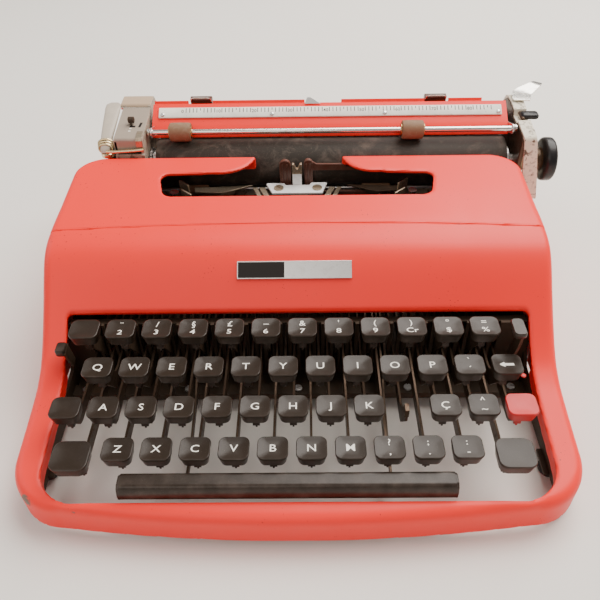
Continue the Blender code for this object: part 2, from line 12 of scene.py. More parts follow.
import bmesh
import bpy
import numpy as np
from mathutils import Matrix, Vector

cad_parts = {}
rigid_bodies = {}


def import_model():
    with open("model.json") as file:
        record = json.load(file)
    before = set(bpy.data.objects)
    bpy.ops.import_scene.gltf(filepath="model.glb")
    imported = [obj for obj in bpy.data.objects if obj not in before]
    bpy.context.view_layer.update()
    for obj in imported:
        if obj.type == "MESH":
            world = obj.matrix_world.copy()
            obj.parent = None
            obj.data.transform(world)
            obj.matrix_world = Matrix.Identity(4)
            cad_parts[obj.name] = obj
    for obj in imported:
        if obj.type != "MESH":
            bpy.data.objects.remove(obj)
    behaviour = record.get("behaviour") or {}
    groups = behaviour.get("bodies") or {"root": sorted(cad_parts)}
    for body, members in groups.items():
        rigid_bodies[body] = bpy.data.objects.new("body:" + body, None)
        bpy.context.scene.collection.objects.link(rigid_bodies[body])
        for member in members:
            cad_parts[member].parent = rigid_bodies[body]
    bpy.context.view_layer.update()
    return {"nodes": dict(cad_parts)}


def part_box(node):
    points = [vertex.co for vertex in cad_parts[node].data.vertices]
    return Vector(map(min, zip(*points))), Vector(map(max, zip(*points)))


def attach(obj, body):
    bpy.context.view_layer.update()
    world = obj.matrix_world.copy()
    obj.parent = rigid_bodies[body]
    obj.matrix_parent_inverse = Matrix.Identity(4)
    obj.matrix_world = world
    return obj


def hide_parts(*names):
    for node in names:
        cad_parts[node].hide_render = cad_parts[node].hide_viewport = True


for old in list(bpy.data.objects):
    bpy.data.objects.remove(old, do_unlink=True)

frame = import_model()

MM = 0.001
HALF_WIDTH = 148.6
FRONT_Y = -31.8
SHELL_LOW, SHELL_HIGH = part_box("body_shell")
ORIGIN = Vector(((SHELL_LOW.x + SHELL_HIGH.x) / 2, SHELL_LOW.y - FRONT_Y * MM, 0.0))
TO_FRAME = Matrix.Translation(ORIGIN) @ Matrix.Scale(MM, 4)


def at(x, y, z):
    return ORIGIN + Vector((x, y, z)) * MM


def machine_box(node):
    """A CAD node's lowest and highest corners in machine millimetres."""
    low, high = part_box(node)
    return (low - ORIGIN) / MM, (high - ORIGIN) / MM


# Materials


class Look:
    """A Principled material whose sockets can be fed by small node recipes."""

    def __init__(self, name, colour, roughness, metallic=0.0, coat=0.0):
        self.material = bpy.data.materials.new(name)
        self.material.use_nodes = True
        self.tree = self.material.node_tree
        self.shader = self.tree.nodes["Principled BSDF"]
        self.shader.inputs["Base Color"].default_value = (*colour, 1.0)
        self.shader.inputs["Roughness"].default_value = roughness
        self.shader.inputs["Metallic"].default_value = metallic
        self.shader.inputs["Coat Weight"].default_value = coat
        self.shader.inputs["Coat Roughness"].default_value = 0.12
        self.shader.inputs["Specular IOR Level"].default_value = 0.3
        self.where = self.tree.nodes.new("ShaderNodeTexCoord").outputs["Object"]
        self.colour = (*colour, 1.0)
        self.rough = roughness

    def link(self, start, end):
        self.tree.links.new(start, end)

    def node(self, kind, **values):
        """A new shader node with its named sockets set."""
        made = self.tree.nodes.new("ShaderNode" + kind)
        for socket, value in values.items():
            made.inputs[socket.replace("_", " ")].default_value = value
        return made

    def noise(self, scale, detail=4.0, roughness=0.55, stretch=(1, 1, 1), distortion=0.0):
        """Noise with about scale features in a metre."""
        space = self.node("Mapping", Scale=stretch)
        self.link(self.where, space.inputs["Vector"])
        made = self.node("TexNoise", Scale=scale, Detail=detail, Roughness=roughness, Distortion=distortion)
        self.link(space.outputs["Vector"], made.inputs["Vector"])
        return made.outputs["Fac"]

    def ramp(self, value, low, high, out_low=0.0, out_high=1.0):
        made = self.node("MapRange", From_Min=low, From_Max=high, To_Min=out_low, To_Max=out_high)
        self.link(value, made.inputs["Value"])
        return made.outputs["Result"]

    def maths(self, operation, a, b=None):
        made = self.node("Math")
        made.operation = operation
        for socket, value in zip(made.inputs, (a, b)):
            if value is None:
                continue
            if isinstance(value, (int, float)):
                socket.default_value = value
            else:
                self.link(value, socket)
        return made.outputs[0]

    def near(self, centre, radius, soft):
        """1 inside a ball round a machine point, falling to 0 over soft millimetres."""
        spot = self.node("VectorMath")
        spot.operation = "DISTANCE"
        spot.inputs[1].default_value = at(*centre)
        self.link(self.where, spot.inputs[0])
        return self.ramp(spot.outputs["Value"], (radius + soft) * MM, radius * MM)

    def edges(self, low=0.52, high=0.60):
        """1 on convex edges, 0 on flat ground."""
        return self.ramp(self.node("NewGeometry").outputs["Pointiness"], low, high)

    def mixed(self, kind, mask, below, above):
        """A plain value laid by a mask over a socket, or over another plain value."""
        mix = self.node("Mix")
        mix.data_type = kind
        self.link(mask, mix.inputs["Factor"])
        if isinstance(below, bpy.types.NodeSocket):
            self.link(below, mix.inputs["A"])
        else:
            mix.inputs["A"].default_value = below
        mix.inputs["B"].default_value = above
        return mix.outputs["Result"]

    def stain(self, mask, colour, roughness=None):
        """Mixes another colour, and if wanted another roughness, over what is there."""
        self.colour = self.mixed("RGBA", mask, self.colour, (*colour, 1.0))
        self.link(self.colour, self.shader.inputs["Base Color"])
        if roughness is not None:
            self.set_roughness(self.mixed("FLOAT", mask, self.rough, roughness))
        return self

    def set_roughness(self, value):
        self.rough = value
        self.link(value, self.shader.inputs["Roughness"])
        return self

    def bump(self, height, distance, strength=1.0):
        made = self.node("Bump", Distance=distance * MM, Strength=strength)
        self.link(height, made.inputs["Height"])
        previous = self.shader.inputs["Normal"].links
        if previous:
            self.link(previous[0].from_socket, made.inputs["Normal"])
        self.link(made.outputs["Normal"], self.shader.inputs["Normal"])
        return self


def enamel(name, chips=True):
    """Coral red stove enamel: faint orange peel, dust, and chips where it has been knocked."""
    look = Look(name, (0.94, 0.026, 0.017), 0.42)
    broad = look.noise(9.0, 3.0)
    look.stain(look.ramp(broad, 0.35, 0.75, 0.0, 0.35), (0.90, 0.022, 0.015))
    grime = look.noise(60.0, 6.0, 0.7)
    look.stain(look.ramp(grime, 0.62, 0.80, 0.0, 0.22), (0.70, 0.075, 0.05), 0.5)
    specks = look.noise(900.0, 1.0)
    rare = look.maths("MULTIPLY", look.ramp(specks, 0.735, 0.76), look.ramp(look.noise(26.0), 0.5, 0.62))
    look.stain(rare, (0.16, 0.03, 0.025), 0.6)
    smears = look.noise(22.0, 5.0, 0.6, (1.0, 0.35, 1.0), 0.8)
    look.set_roughness(look.ramp(smears, 0.3, 0.8, 0.36, 0.50))
    if chips:
        ragged = look.noise(170.0, 5.0, 0.65)
        edge = look.maths("MULTIPLY", look.edges(0.54, 0.62), look.ramp(look.noise(34.0, 3.0), 0.62, 0.68))
        mask = look.maths("MULTIPLY", edge, look.ramp(ragged, 0.50, 0.56))
        knocks = (
            ((-124.4, -26.6, 21.6), 2.0), ((-118.0, -26.2, 22.0), 1.8), ((-112.0, -26.4, 21.8), 1.8),
            ((-105.0, -27.0, 21.0), 1.4), ((-138.5, -19.0, 21.5), 3.4), ((-141.0, -12.0, 19.0), 3.0),
            ((127.0, -26.0, 22.0), 2.6), ((124.0, -26.6, 22.2), 1.8), ((125.0, -28.6, 6.0), 1.4),
            ((-148.0, 118.0, 78.0), 4.0), ((147.0, 120.0, 80.0), 3.4), ((146.0, 200.0, 44.0), 5.0),
            ((-146.0, 268.0, 44.0), 6.0), ((140.0, 284.0, 44.0), 5.0), ((-60.0, 288.0, 44.0), 4.0),
        )
        for centre, radius in knocks:
            area = look.maths("MULTIPLY", look.near(centre, radius * 0.5, radius),
                              look.ramp(ragged, 0.40, 0.50))
            mask = look.maths("MAXIMUM", mask, look.ramp(area, 0.25, 0.45))
        look.stain(mask, (0.20, 0.13, 0.10), 0.6)
        look.bump(look.maths("MULTIPLY", mask, -1.0), 0.12)
    look.bump(look.noise(1400.0, 2.0), 0.012)
    return look.material


def plastic(name, colour, dust=0.10):
    """Moulded plastic with polished wear, rubbed edges and specks of dust."""
    look = Look(name, colour, 0.32)
    wear = look.noise(120.0, 5.0, 0.6)
    look.stain(look.ramp(wear, 0.45, 0.85, 0.0, dust * 2), tuple(c * 1.8 + 0.02 for c in colour), 0.42)
    look.stain(look.ramp(look.noise(2600.0, 2.0), 0.66, 0.74, 0.0, dust * 2), (0.30, 0.25, 0.20), 0.7)
    look.stain(look.maths("MULTIPLY", look.edges(), look.ramp(wear, 0.4, 0.7, 0.0, 0.4)),
               (0.18, 0.13, 0.11), 0.25)
    look.bump(look.noise(3800.0, 2.0), 0.012)
    return look.material


def worn_metal(name, colour, roughness, stain=(0.10, 0.06, 0.035), amount=0.5, metallic=1.0, scale=180.0):
    """Plated or bare metal with brown tarnish in patches and fine scratches."""
    look = Look(name, colour, roughness, metallic)
    patches = look.noise(scale, 6.0, 0.68, distortion=0.4)
    look.stain(look.ramp(patches, 0.52, 0.72, 0.0, amount), stain, min(1.0, roughness + 0.35))
    spots = look.noise(scale * 7, 2.0)
    look.stain(look.ramp(spots, 0.66, 0.72, 0.0, amount), tuple(c * 0.5 for c in stain), 0.8)
    look.bump(look.noise(1500.0, 3.0, 0.5, (0.15, 1.0, 1.0)), 0.006)
    look.bump(look.noise(300.0, 2.0), 0.02)
    return look.material


def chipped_paint(name, colour, under=(0.11, 0.07, 0.045)):
    """Old cream-grey paint on a casting, chipped to the dark metal and stained round its edges."""
    look = Look(name, colour, 0.5)
    dirt = look.noise(70.0, 6.0, 0.7)
    look.stain(look.ramp(dirt, 0.46, 0.80, 0.0, 0.40), tuple(c * 0.62 for c in colour), 0.6)
    flakes = look.noise(260.0, 6.0, 0.62, distortion=0.4)
    mask = look.ramp(flakes, 0.655, 0.675)
    edge = look.maths("MULTIPLY", look.edges(0.52, 0.59), look.ramp(flakes, 0.54, 0.58))
    mask = look.maths("MAXIMUM", mask, edge)
    look.stain(mask, under, 0.45)
    look.bump(look.maths("MULTIPLY", mask, -1.0), 0.10)
    look.bump(look.noise(800.0, 3.0), 0.03)
    return look.material


def rubber(name, colour, chalk=(0.22, 0.19, 0.17), amount=0.5, scale=60.0):
    """Dull rubber with chalky smudges."""
    look = Look(name, colour, 0.62)
    smudge = look.noise(scale, 7.0, 0.72, distortion=0.8)
    look.stain(look.ramp(smudge, 0.50, 0.74, 0.0, amount), chalk, 0.85)
    fine = look.noise(1100.0, 3.0, 0.7)
    look.stain(look.ramp(fine, 0.60, 0.72, 0.0, amount * 0.8), tuple(c * 1.15 for c in chalk), 0.9)
    look.bump(look.noise(700.0, 4.0), 0.03)
    return look.material


def cream_print(name, colour):
    """A printed cream strip, yellowed and specked."""
    look = Look(name, colour, 0.42)
    look.stain(look.ramp(look.noise(90.0, 5.0, 0.65), 0.45, 0.8, 0.0, 0.5), tuple(c * 0.62 for c in colour),
               0.55)
    look.stain(look.ramp(look.noise(900.0, 2.0), 0.68, 0.74, 0.0, 0.6), (0.20, 0.15, 0.11), 0.6)
    look.bump(look.noise(1500.0, 2.0), 0.01)
    return look.material


def flat_ink(name, colour):
    """Printed or filled-in ink, a little worn."""
    look = Look(name, colour, 0.5)
    look.stain(look.ramp(look.noise(2500.0, 3.0, 0.7), 0.58, 0.72, 0.0, 0.35),
               tuple(c * 0.7 + 0.01 for c in colour))
    return look.material


ENAMEL = enamel("coral_enamel")
TABLE_ENAMEL = enamel("coral_enamel_plain", chips=False)
KEY_PLASTIC = plastic("key_plastic", (0.020, 0.012, 0.007))
KNOB_PLASTIC = plastic("knob_plastic", (0.009, 0.008, 0.009))
RED_PLASTIC = plastic("red_key_plastic", (0.62, 0.022, 0.024), 0.05)
LEGEND_INK = flat_ink("legend_ink", (0.86, 0.82, 0.74))
BLACK_INK = flat_ink("black_ink", (0.010, 0.006, 0.005))
CHROME = worn_metal("worn_chrome", (0.80, 0.77, 0.72), 0.16, amount=0.35, scale=260.0)
NICKEL = worn_metal("nickel_plate", (0.74, 0.72, 0.70), 0.30, (0.30, 0.26, 0.22), 0.3)
# Plated steel made near white and hardly metallic: a painted reflection that keeps it bright where it lies in shade
PAINTED_REFLECTION_PLATE = worn_metal("painted_reflection_plate", (0.88, 0.87, 0.86), 0.36, (0.45, 0.40, 0.36), 0.25, 0.15)
LINK_BRASS = worn_metal("link_brass", (0.74, 0.58, 0.34), 0.25, (0.30, 0.18, 0.08), 0.4, 0.9)
LEVER_STEEL = worn_metal("lever_steel", (0.085, 0.055, 0.036), 0.42, (0.07, 0.035, 0.018), 0.8, 0.6)
DARK_STEEL = worn_metal("dark_steel", (0.050, 0.032, 0.020), 0.55, (0.085, 0.045, 0.022), 0.7, 0.3, 90.0)
TAN_STEEL = worn_metal("tan_steel", (0.46, 0.37, 0.27), 0.36, (0.15, 0.09, 0.05), 0.75, 0.9, 220.0)
BRASS = worn_metal("brass", (0.50, 0.34, 0.15), 0.32, (0.14, 0.08, 0.03), 0.6)
CASTING = chipped_paint("casting_paint", (0.78, 0.70, 0.56))
GREY_CASTING = chipped_paint("grey_casting_paint", (0.40, 0.33, 0.25))
LEVER_GREY = plastic("lever_grey", (0.50, 0.43, 0.35), 0.08)
TOP_GREY = plastic("top_plate_grey", (0.34, 0.275, 0.22), 0.08)
BLOCK_TAN = plastic("block_tan", (0.50, 0.36, 0.24), 0.08)
PLATEN_RUBBER = rubber("platen_rubber", (0.030, 0.022, 0.016), (0.20, 0.15, 0.12), amount=0.5)
ROLLER_RUBBER = rubber("roller_rubber", (0.22, 0.125, 0.07), (0.34, 0.25, 0.17), 0.5, 160.0)
FOOT_RUBBER = rubber("foot_rubber", (0.025, 0.025, 0.025))
SCALE_CREAM = cream_print("scale_cream", (0.90, 0.86, 0.76))
GUIDE_BROWN = plastic("guide_brown", (0.10, 0.035, 0.022), 0.12)
RIBBON_CLOTH = rubber("ribbon_cloth", (0.018, 0.014, 0.014), (0.06, 0.05, 0.05), 0.4, 300.0)


# Pieces


def link_mesh(name, mesh):
    obj = bpy.data.objects.new(name, mesh)
    bpy.context.scene.collection.objects.link(obj)
    return obj


def piece(name, mesh, body, look, replaces=(), bevel=0.0, smooth=True, segments=2):
    """Puts a mesh in machine millimetres into the frame as a finished piece that rides on a body."""
    mesh.transform(TO_FRAME)
    obj = link_mesh(name, mesh)
    mesh.materials.clear()
    mesh.materials.append(look)
    if smooth:
        mesh.shade_smooth()
        if not bevel:
            mesh.set_sharp_from_angle(angle=math.radians(38))
    if bevel:
        rounding = obj.modifiers.new("rounding", "BEVEL")
        rounding.width = bevel * MM
        rounding.segments = segments
        rounding.limit_method = "ANGLE"
        rounding.angle_limit = math.radians(28)
        rounding.harden_normals = True
    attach(obj, body)
    if replaces:
        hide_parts(*replaces)
    return obj


def mesh_from(name, points, faces):
    """A mesh with its faces turned outwards."""
    mesh = bpy.data.meshes.new(name)
    mesh.from_pydata([tuple(p) for p in points], [], faces)
    mesh.validate()
    bm = bmesh.new()
    bm.from_mesh(mesh)
    bmesh.ops.recalc_face_normals(bm, faces=bm.faces)
    bm.to_mesh(mesh)
    bm.free()
    return mesh


def loft(rings):
    """Closes a stack of rings with equal point counts into one solid."""
    count = len(rings[0])
    points = [p for ring in rings for p in ring]
    faces = [list(range(count)), list(range(len(points) - 1, len(points) - count - 1, -1))]
    for k in range(len(rings) - 1):
        for i in range(count):
            j = (i + 1) % count
            faces.append([k * count + i, (k + 1) * count + i, (k + 1) * count + j, k * count + j])
    return mesh_from("loft", points, faces)


PLACES = {"X": lambda a, b, c: (c, a, b), "Y": lambda a, b, c: (a, c, b), "Z": lambda a, b, c: (a, b, c)}


def prism(axis, outline, low, high):
    """An outline extruded along an axis: (y, z) points for X, (x, z) for Y, (x, y) for Z."""
    place = PLACES[axis]
    return loft([[place(a, b, along) for a, b in outline] for along in (low, high)])


def box(x, y, z):
    return prism("Z", [(x[0], y[0]), (x[1], y[0]), (x[1], y[1]), (x[0], y[1])], z[0], z[1])


def arc(centre, radius, start, end, steps):
    turn = [math.radians(start + (end - start) * i / steps) for i in range(steps + 1)]
    return [(centre[0] + radius * math.cos(a), centre[1] + radius * math.sin(a)) for a in turn]


def lathe(axis, centre, profile, sides=48):
    """A turned solid: profile is (radius, place along the axis) from one end to the other."""
    place = PLACES[axis]
    turns = [2 * math.pi * i / sides for i in range(sides)]
    return loft([[place(centre[0] + radius * math.cos(a), centre[1] + radius * math.sin(a),
                        along) for a in turns]
                 for radius, along in profile])


def strip(points, thickness):
    """The outline of a bent sheet seen edge on."""
    near, far = [], []
    for i, point in enumerate(points):
        before = Vector(points[max(i - 1, 0)])
        after = Vector(points[min(i + 1, len(points) - 1)])
        along = (after - before).normalized()
        out = Vector((-along.y, along.x)) * thickness / 2
        near.append(tuple(Vector(point) + out))
        far.append(tuple(Vector(point) - out))
    return near + far[::-1]


def joined(*meshes):
    """Several meshes as one, each keeping its own closed surface."""
    bm = bmesh.new()
    for mesh in meshes:
        bm.from_mesh(mesh)
    made = bpy.data.meshes.new("joined")
    bm.to_mesh(made)
    bm.free()
    return made


def wire(points, radius, sides=10):
    """A round wire swept along points, in machine millimetres."""
    curve = bpy.data.curves.new("wire", "CURVE")
    curve.dimensions = "3D"
    curve.bevel_depth = radius
    curve.bevel_resolution = max(1, sides // 4)
    curve.use_fill_caps = True
    line = curve.splines.new("POLY")
    line.points.add(len(points) - 1)
    for spot, point in zip(line.points, points):
        spot.co = (*point, 1.0)
    obj = bpy.data.objects.new("wire", curve)
    mesh = bpy.data.meshes.new_from_object(obj)
    bpy.data.objects.remove(obj)
    return mesh


def coil(start, end, radius, turns, thickness, per_turn=14):
    """A coil spring between two points."""
    start, end = Vector(start), Vector(end)
    along = (end - start).normalized()
    side = along.orthogonal().normalized()
    other = along.cross(side)
    points = []
    for i in range(turns * per_turn + 1):
        turn = 2 * math.pi * i / per_turn
        spot = start.lerp(end, i / (turns * per_turn))
        points.append(spot + side * radius * math.cos(turn) + other * radius * math.sin(turn))
    return wire(points, thickness, 6)


def screw(axis, centre, face, outward, radius=2.6, height=1.0, turn=30.0):
    """A slotted cheese-head screw: two half heads with a groove between them."""
    halves = []
    gap = radius * 0.16
    reach = math.degrees(math.asin(gap / radius))
    for start in (reach, 180 + reach):
        outline = arc((0, 0), radius, start, start + 180 - 2 * reach, 12)
        turned = []
        for a, b in outline:
            angle = math.radians(turn)
            turned.append((centre[0] + a * math.cos(angle) - b * math.sin(angle),
                           centre[1] + a * math.sin(angle) + b * math.cos(angle)))
        halves.append(prism(axis, turned, face, face + outward * height))
    washer = lathe(axis, centre, [(radius, face), (radius, face + outward * height * 0.35)], 24)
    return joined(*halves, washer)


def text(name, body_text, size, x, y, z, body, look=None, stretch=1.15, lean=0.0, tilt=None, weight=0.004,
         drape=None):
    """A short legend, centred on a machine point and lying flat unless tilted."""
    curve = bpy.data.curves.new(name, "FONT")
    curve.body = body_text
    curve.size = size * MM
    curve.align_x = "CENTER"
    curve.align_y = "CENTER"
    curve.extrude = 0.03 * MM
    curve.offset = weight * size * MM
    curve.shear = lean
    curve.resolution_u = 3
    obj = bpy.data.objects.new(name, curve)
    bpy.context.scene.collection.objects.link(obj)
    mesh = bpy.data.meshes.new_from_object(obj.evaluated_get(bpy.context.evaluated_depsgraph_get()))
    bpy.data.objects.remove(obj)
    mesh.transform(Matrix.Diagonal((stretch, 1.0, 1.0, 1.0)))
    if drape is not None:
        for vertex in mesh.vertices:
            vertex.co.z += drape(vertex.co.x / MM, vertex.co.y / MM) * MM
    turn = tilt if tilt is not None else Matrix.Identity(4)
    mesh.transform(Matrix.Translation(at(x, y, z)) @ turn)
    obj = link_mesh(name, mesh)
    mesh.materials.append(look or LEGEND_INK)
    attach(obj, body)
    return obj


# Shell and ribbon cover, as a field of signed distances turned into a smooth skin


def round_max(a, b, radius):
    """Intersection of two solids with a fillet of that radius along their common edge."""
    return np.minimum(-radius, np.maximum(a, b)) + np.hypot(np.maximum(a + radius, 0),
                                                            np.maximum(b + radius, 0))


def round_min(a, b, radius):
    """Union of two solids with a fillet of that radius in their common corner."""
    return -round_max(-a, -b, radius)


def surface_net(field, low, step):
    """The zero surface of a field sampled on a grid, as points and four-sided faces."""
    cells = tuple(n - 1 for n in field.shape)
    total = cells[0] * cells[1] * cells[2]
    sums = np.zeros((total, 3))
    counts = np.zeros(total)
    quads = []
    inside = field < 0
    for axis in range(3):
        ahead = [slice(None)] * 3
        behind = [slice(None)] * 3
        ahead[axis] = slice(1, None)
        behind[axis] = slice(None, -1)
        crossing = inside[tuple(ahead)] != inside[tuple(behind)]
        b, c = (axis + 1) % 3, (axis + 2) % 3
        for other in (b, c):
            for edge in (0, -1):
                border = [slice(None)] * 3
                border[other] = edge
                crossing[tuple(border)] = False
        spots = np.argwhere(crossing)
        first = field[tuple(behind)][crossing]
        second = field[tuple(ahead)][crossing]
        points = spots.astype(float)
        points[:, axis] += first / (first - second)
        around = []
        for db, dc in ((-1, -1), (0, -1), (0, 0), (-1, 0)):
            cell = spots.copy()
            cell[:, b] += db
            cell[:, c] += dc
            index = np.ravel_multi_index(cell.T, cells)
            around.append(index)
            counts += np.bincount(index, minlength=total)
            for k in range(3):
                sums[:, k] += np.bincount(index, points[:, k], minlength=total)
        faces = np.stack(around, 1)
        flip = first > 0
        faces[flip] = faces[flip][:, ::-1]
        quads.append(faces)
    used = counts > 0
    number = np.cumsum(used) - 1
    points = sums[used] / counts[used, None] * step + np.array(low)
    return points, number[np.concatenate(quads)]


def net_mesh(name, field, low, high, step):
    points, faces = surface_net(field(*grid(low, high, step)), low, step)
    points = settle(points, field, 0.35 * step)
    mesh = bpy.data.meshes.new(name)
    mesh.vertices.add(len(points))
    mesh.vertices.foreach_set("co", points.astype(np.float32).ravel())
    mesh.loops.add(faces.size)
    mesh.loops.foreach_set("vertex_index", faces.astype(np.int32).ravel())
    mesh.polygons.add(len(faces))
    mesh.polygons.foreach_set("loop_start", np.arange(0, faces.size, 4, dtype=np.int32))
    mesh.update(calc_edges=True)
    mesh.validate()
    return mesh


def polygon_distance(points, x, y):
    """Signed distance to a closed outline, negative inside, on a grid."""
    best = np.full(np.broadcast(x, y).shape, 1e9)
    odd = np.zeros(best.shape, bool)
    for (ax, ay), (bx, by) in zip(points, points[1:] + points[:1]):
        ex, ey = bx - ax, by - ay
        share = np.clip(((x - ax) * ex + (y - ay) * ey) / (ex * ex + ey * ey), 0, 1)
        best = np.minimum(best, np.hypot(x - ax - share * ex, y - ay - share * ey))
        if ey:
            odd ^= ((ay > y) != (by > y)) & (x < ex * (y - ay) / ey + ax)
    return np.where(odd, -best, best)


TOP_LINE = (
    (-40.0, 23.0), (-24.0, 24.4), (0.0, 27.2), (28.0, 31.0), (44.0, 33.6), (56.0, 38.2), (66.0, 45.5),
    (76.0, 54.5), (86.0, 64.0), (95.0, 73.0), (102.0, 79.5), (108.0, 83.5), (117.0, 86.0), (130.0, 87.3),
    (160.0, 88.0), (230.0, 88.0),
)
WALL = 2.6
HOOD_REAR_Y = 203.6
BASE_REAR_Y = 288.0
BASE_TOP = 46.0
SHELL_BOTTOM = 4.0


def top_height(y):
    """The shell's top line seen from the side, softened between its points."""
    fine = np.arange(-60.0, 320.0, 0.5)
    height = np.interp(fine, *zip(*TOP_LINE))
    window = np.exp(-0.5 * (np.arange(-20, 21) / 7.0) ** 2)
    soft = np.convolve(np.pad(height, 20, "edge"), window / window.sum(), "valid")
    return np.interp(y, fine, soft), np.interp(y, fine, np.gradient(soft, fine))


def plan_distance(x, y, rear, corner):
    """The shell's outline seen from above, bowed at the front, up to a rear edge."""
    front = FRONT_Y + 7.8 * np.minimum(np.abs(x) / 120.6, 1.0) ** 2
    sides = round_max(np.abs(x) - HALF_WIDTH, front - y, 28.0)
    return round_max(sides, y - rear, corner)


def box_distance(x, y, z, low, high):
    far_x = np.maximum(low[0] - x, x - high[0])
    far_y = np.maximum(low[1] - y, y - high[1])
    far_z = np.maximum(low[2] - z, z - high[2])
    return np.maximum(np.maximum(far_x, far_y), far_z)


def shell_field(x, y, z):
    """The whole thin shell before it is parted into body and cover, with its edges rounded."""
    height, slope = top_height(y)
    top = (z - height) / np.sqrt(1 + slope ** 2)
    hood = round_max(plan_distance(x, y, HOOD_REAR_Y, 20.0), top, np.interp(y, (150.0, 190.0), (5.5, 3.0)))
    base = round_max(plan_distance(x, y, BASE_REAR_Y, 24.0), z - BASE_TOP, 4.0)
    outside = round_min(hood, np.maximum(base, 90.0 - y), 1.5)
    shell = np.maximum(outside, -(outside + WALL))
    opening = keyboard_opening(x, y)
    hem = np.maximum(np.abs(opening - 1.3) - 1.3, np.maximum(height - 10.0 - z, z - height + 1.5))
    shell = round_min(shell, np.maximum(hem, y - 57.0), 1.5)
    shell = round_max(shell, -opening, 1.6)
    throat = box_distance(x, y, z, (-128.0, 194.0, -20.0), (128.0, 206.5, 78.5))
    bay = np.maximum(round_max(np.abs(x) - 138.0, np.abs(y - 241.75) - 35.25, 8.0), 30.0 - z)
    shell = round_max(shell, -np.minimum(throat, bay), 0.9)
    return round_max(shell, SHELL_BOTTOM - z, 0.8)


def keyboard_opening(x, y):
    """Negative inside the keyboard well, seen from above."""
    sides = round_max(np.abs(x) - 133.0, -21.0 - y, 20.0)
    return round_max(sides, y - 80.4, 3.0)


def seam_distance(x, y, z, low):
    """Negative where the ribbon cover is: behind the seam's arc and above its side edges."""
    return np.maximum(127.0 - 5.0 * (x / HALF_WIDTH) ** 2 - y, low - z)


def window_outline():
    """The ribbon cover's window, with its two lobes at the rear."""
    points = [(-75.0, 155.6), (75.0, 155.6), *arc((79.0, 163.0), 7.4, -90, -15, 5), (89.0, 176.0)]
    points += arc((84.0, 177.0), 5.0, 0, 90, 4) + [(60.0, 183.0)]
    points += arc((52.0, 205.5), 21.5, -80, -172, 10)
    points += [(30.5, 220.0), (-29.0, 220.0)]
    points += arc((-52.0, 207.0), 24.0, -8, -100, 10)
    points += [(-64.0, 182.6)] + arc((-84.0, 177.0), 5.0, 90, 180, 4)
    points += [(-89.5, 176.0)] + arc((-79.0, 163.0), 7.4, 195, 270, 5)
    return points


def grid(low, high, step):
    axes = [np.arange(a, b + step, step) for a, b in zip(low, high)]
    return axes[0][:, None, None], axes[1][None, :, None], axes[2][None, None, :]


def body_field(x, y, z):
    """The body of the shell."""
    return round_max(shell_field(x, y, z), -seam_distance(x, y, z, 61.7), 0.7)


def cover_field(x, y, z):
    """The ribbon cover."""
    field = round_max(shell_field(x, y, z), seam_distance(x, y, z, 62.2) + 0.35, 0.9)
    return round_max(field, -polygon_distance(window_outline(), x, y), 1.2)


def settle(points, field, most):
    """Moves points onto the zero level of a field by Newton steps of limited length."""
    reach = 0.04
    for _ in range(3):
        value = field(*points.T)
        slope = np.empty_like(points)
        for k in range(3):
            ahead = points.copy()
            behind = points.copy()
            ahead[:, k] += reach
            behind[:, k] -= reach
            slope[:, k] = (field(*ahead.T) - field(*behind.T)) / (2 * reach)
        steep = np.maximum((slope ** 2).sum(1), 0.2)
        step = slope * (value / steep)[:, None]
        size = np.maximum(np.sqrt((step ** 2).sum(1)), 1e-9)
        points = points - step * np.minimum(1.0, most / size)[:, None]
    return points


def build_shell():
    """The skins of the body and of the ribbon cover."""
    for name, node, body, field, low, high, step in (
        ("body_shell_skin", "body_shell", "frame", body_field, (-152.0, -36.0, 1.0), (152.0, 292.0, 92.0),
         1.4),
        ("ribbon_cover_skin", "ribbon_cover", "ribbon_cover", cover_field, (-152.0, 118.0, 58.0),
         (152.0, 208.0, 92.0), 1.2),
    ):
        mesh = net_mesh(name, field, low, high, step)
        skin = piece(name, mesh, body, ENAMEL, [node])
        skin.data.shade_smooth()


# Keyboard

PITCH = 19.72
ROW_STEP = 19.25
CAP_HEIGHT = 7.0
FULCRUM_Y = 206.0
FULCRUM_Z = 27.0
LEGENDS = {
    "home_row": ("A", "S", "D", "F", "G", "H", "J", "K", None, "Ç", "^\n~"),
    "bottom_row": ("Z", "X", "C", "V", "B", "N", "M", "?\n,", ";\n.", ":\n-"),
    "letter_row": ("Q", "W", "E", "R", "T", "Y", "U", "I", "O", "P", "`\n´"),
    "number_row": ("¨\n2", "/\n3", "§\n4", "£\n5", "–\n6", "&\n7", "'\n8", "(\n9", ")\nCr",
                   "º\n$", "=\n%"),
}
NODES = {
    "home_row": ("a", "s", "d", "f", "g", "h", "j", "k", "l", "accent", "circumflex"),
    "bottom_row": ("z", "x", "c", "v", "b", "n", "m", "comma", "period", "hyphen"),
}


def cap_ring(width, depth, corner, z, count=10):
    """A rounded rectangle at a height."""
    points = []
    for sx, sy, start in ((1, 1, 0), (-1, 1, 90), (-1, -1, 180), (1, -1, 270)):
        centre = (sx * (width / 2 - corner), sy * (depth / 2 - corner))
        points += [(a, b, z) for a, b in arc(centre, corner, start, start + 90, count)]
    return points


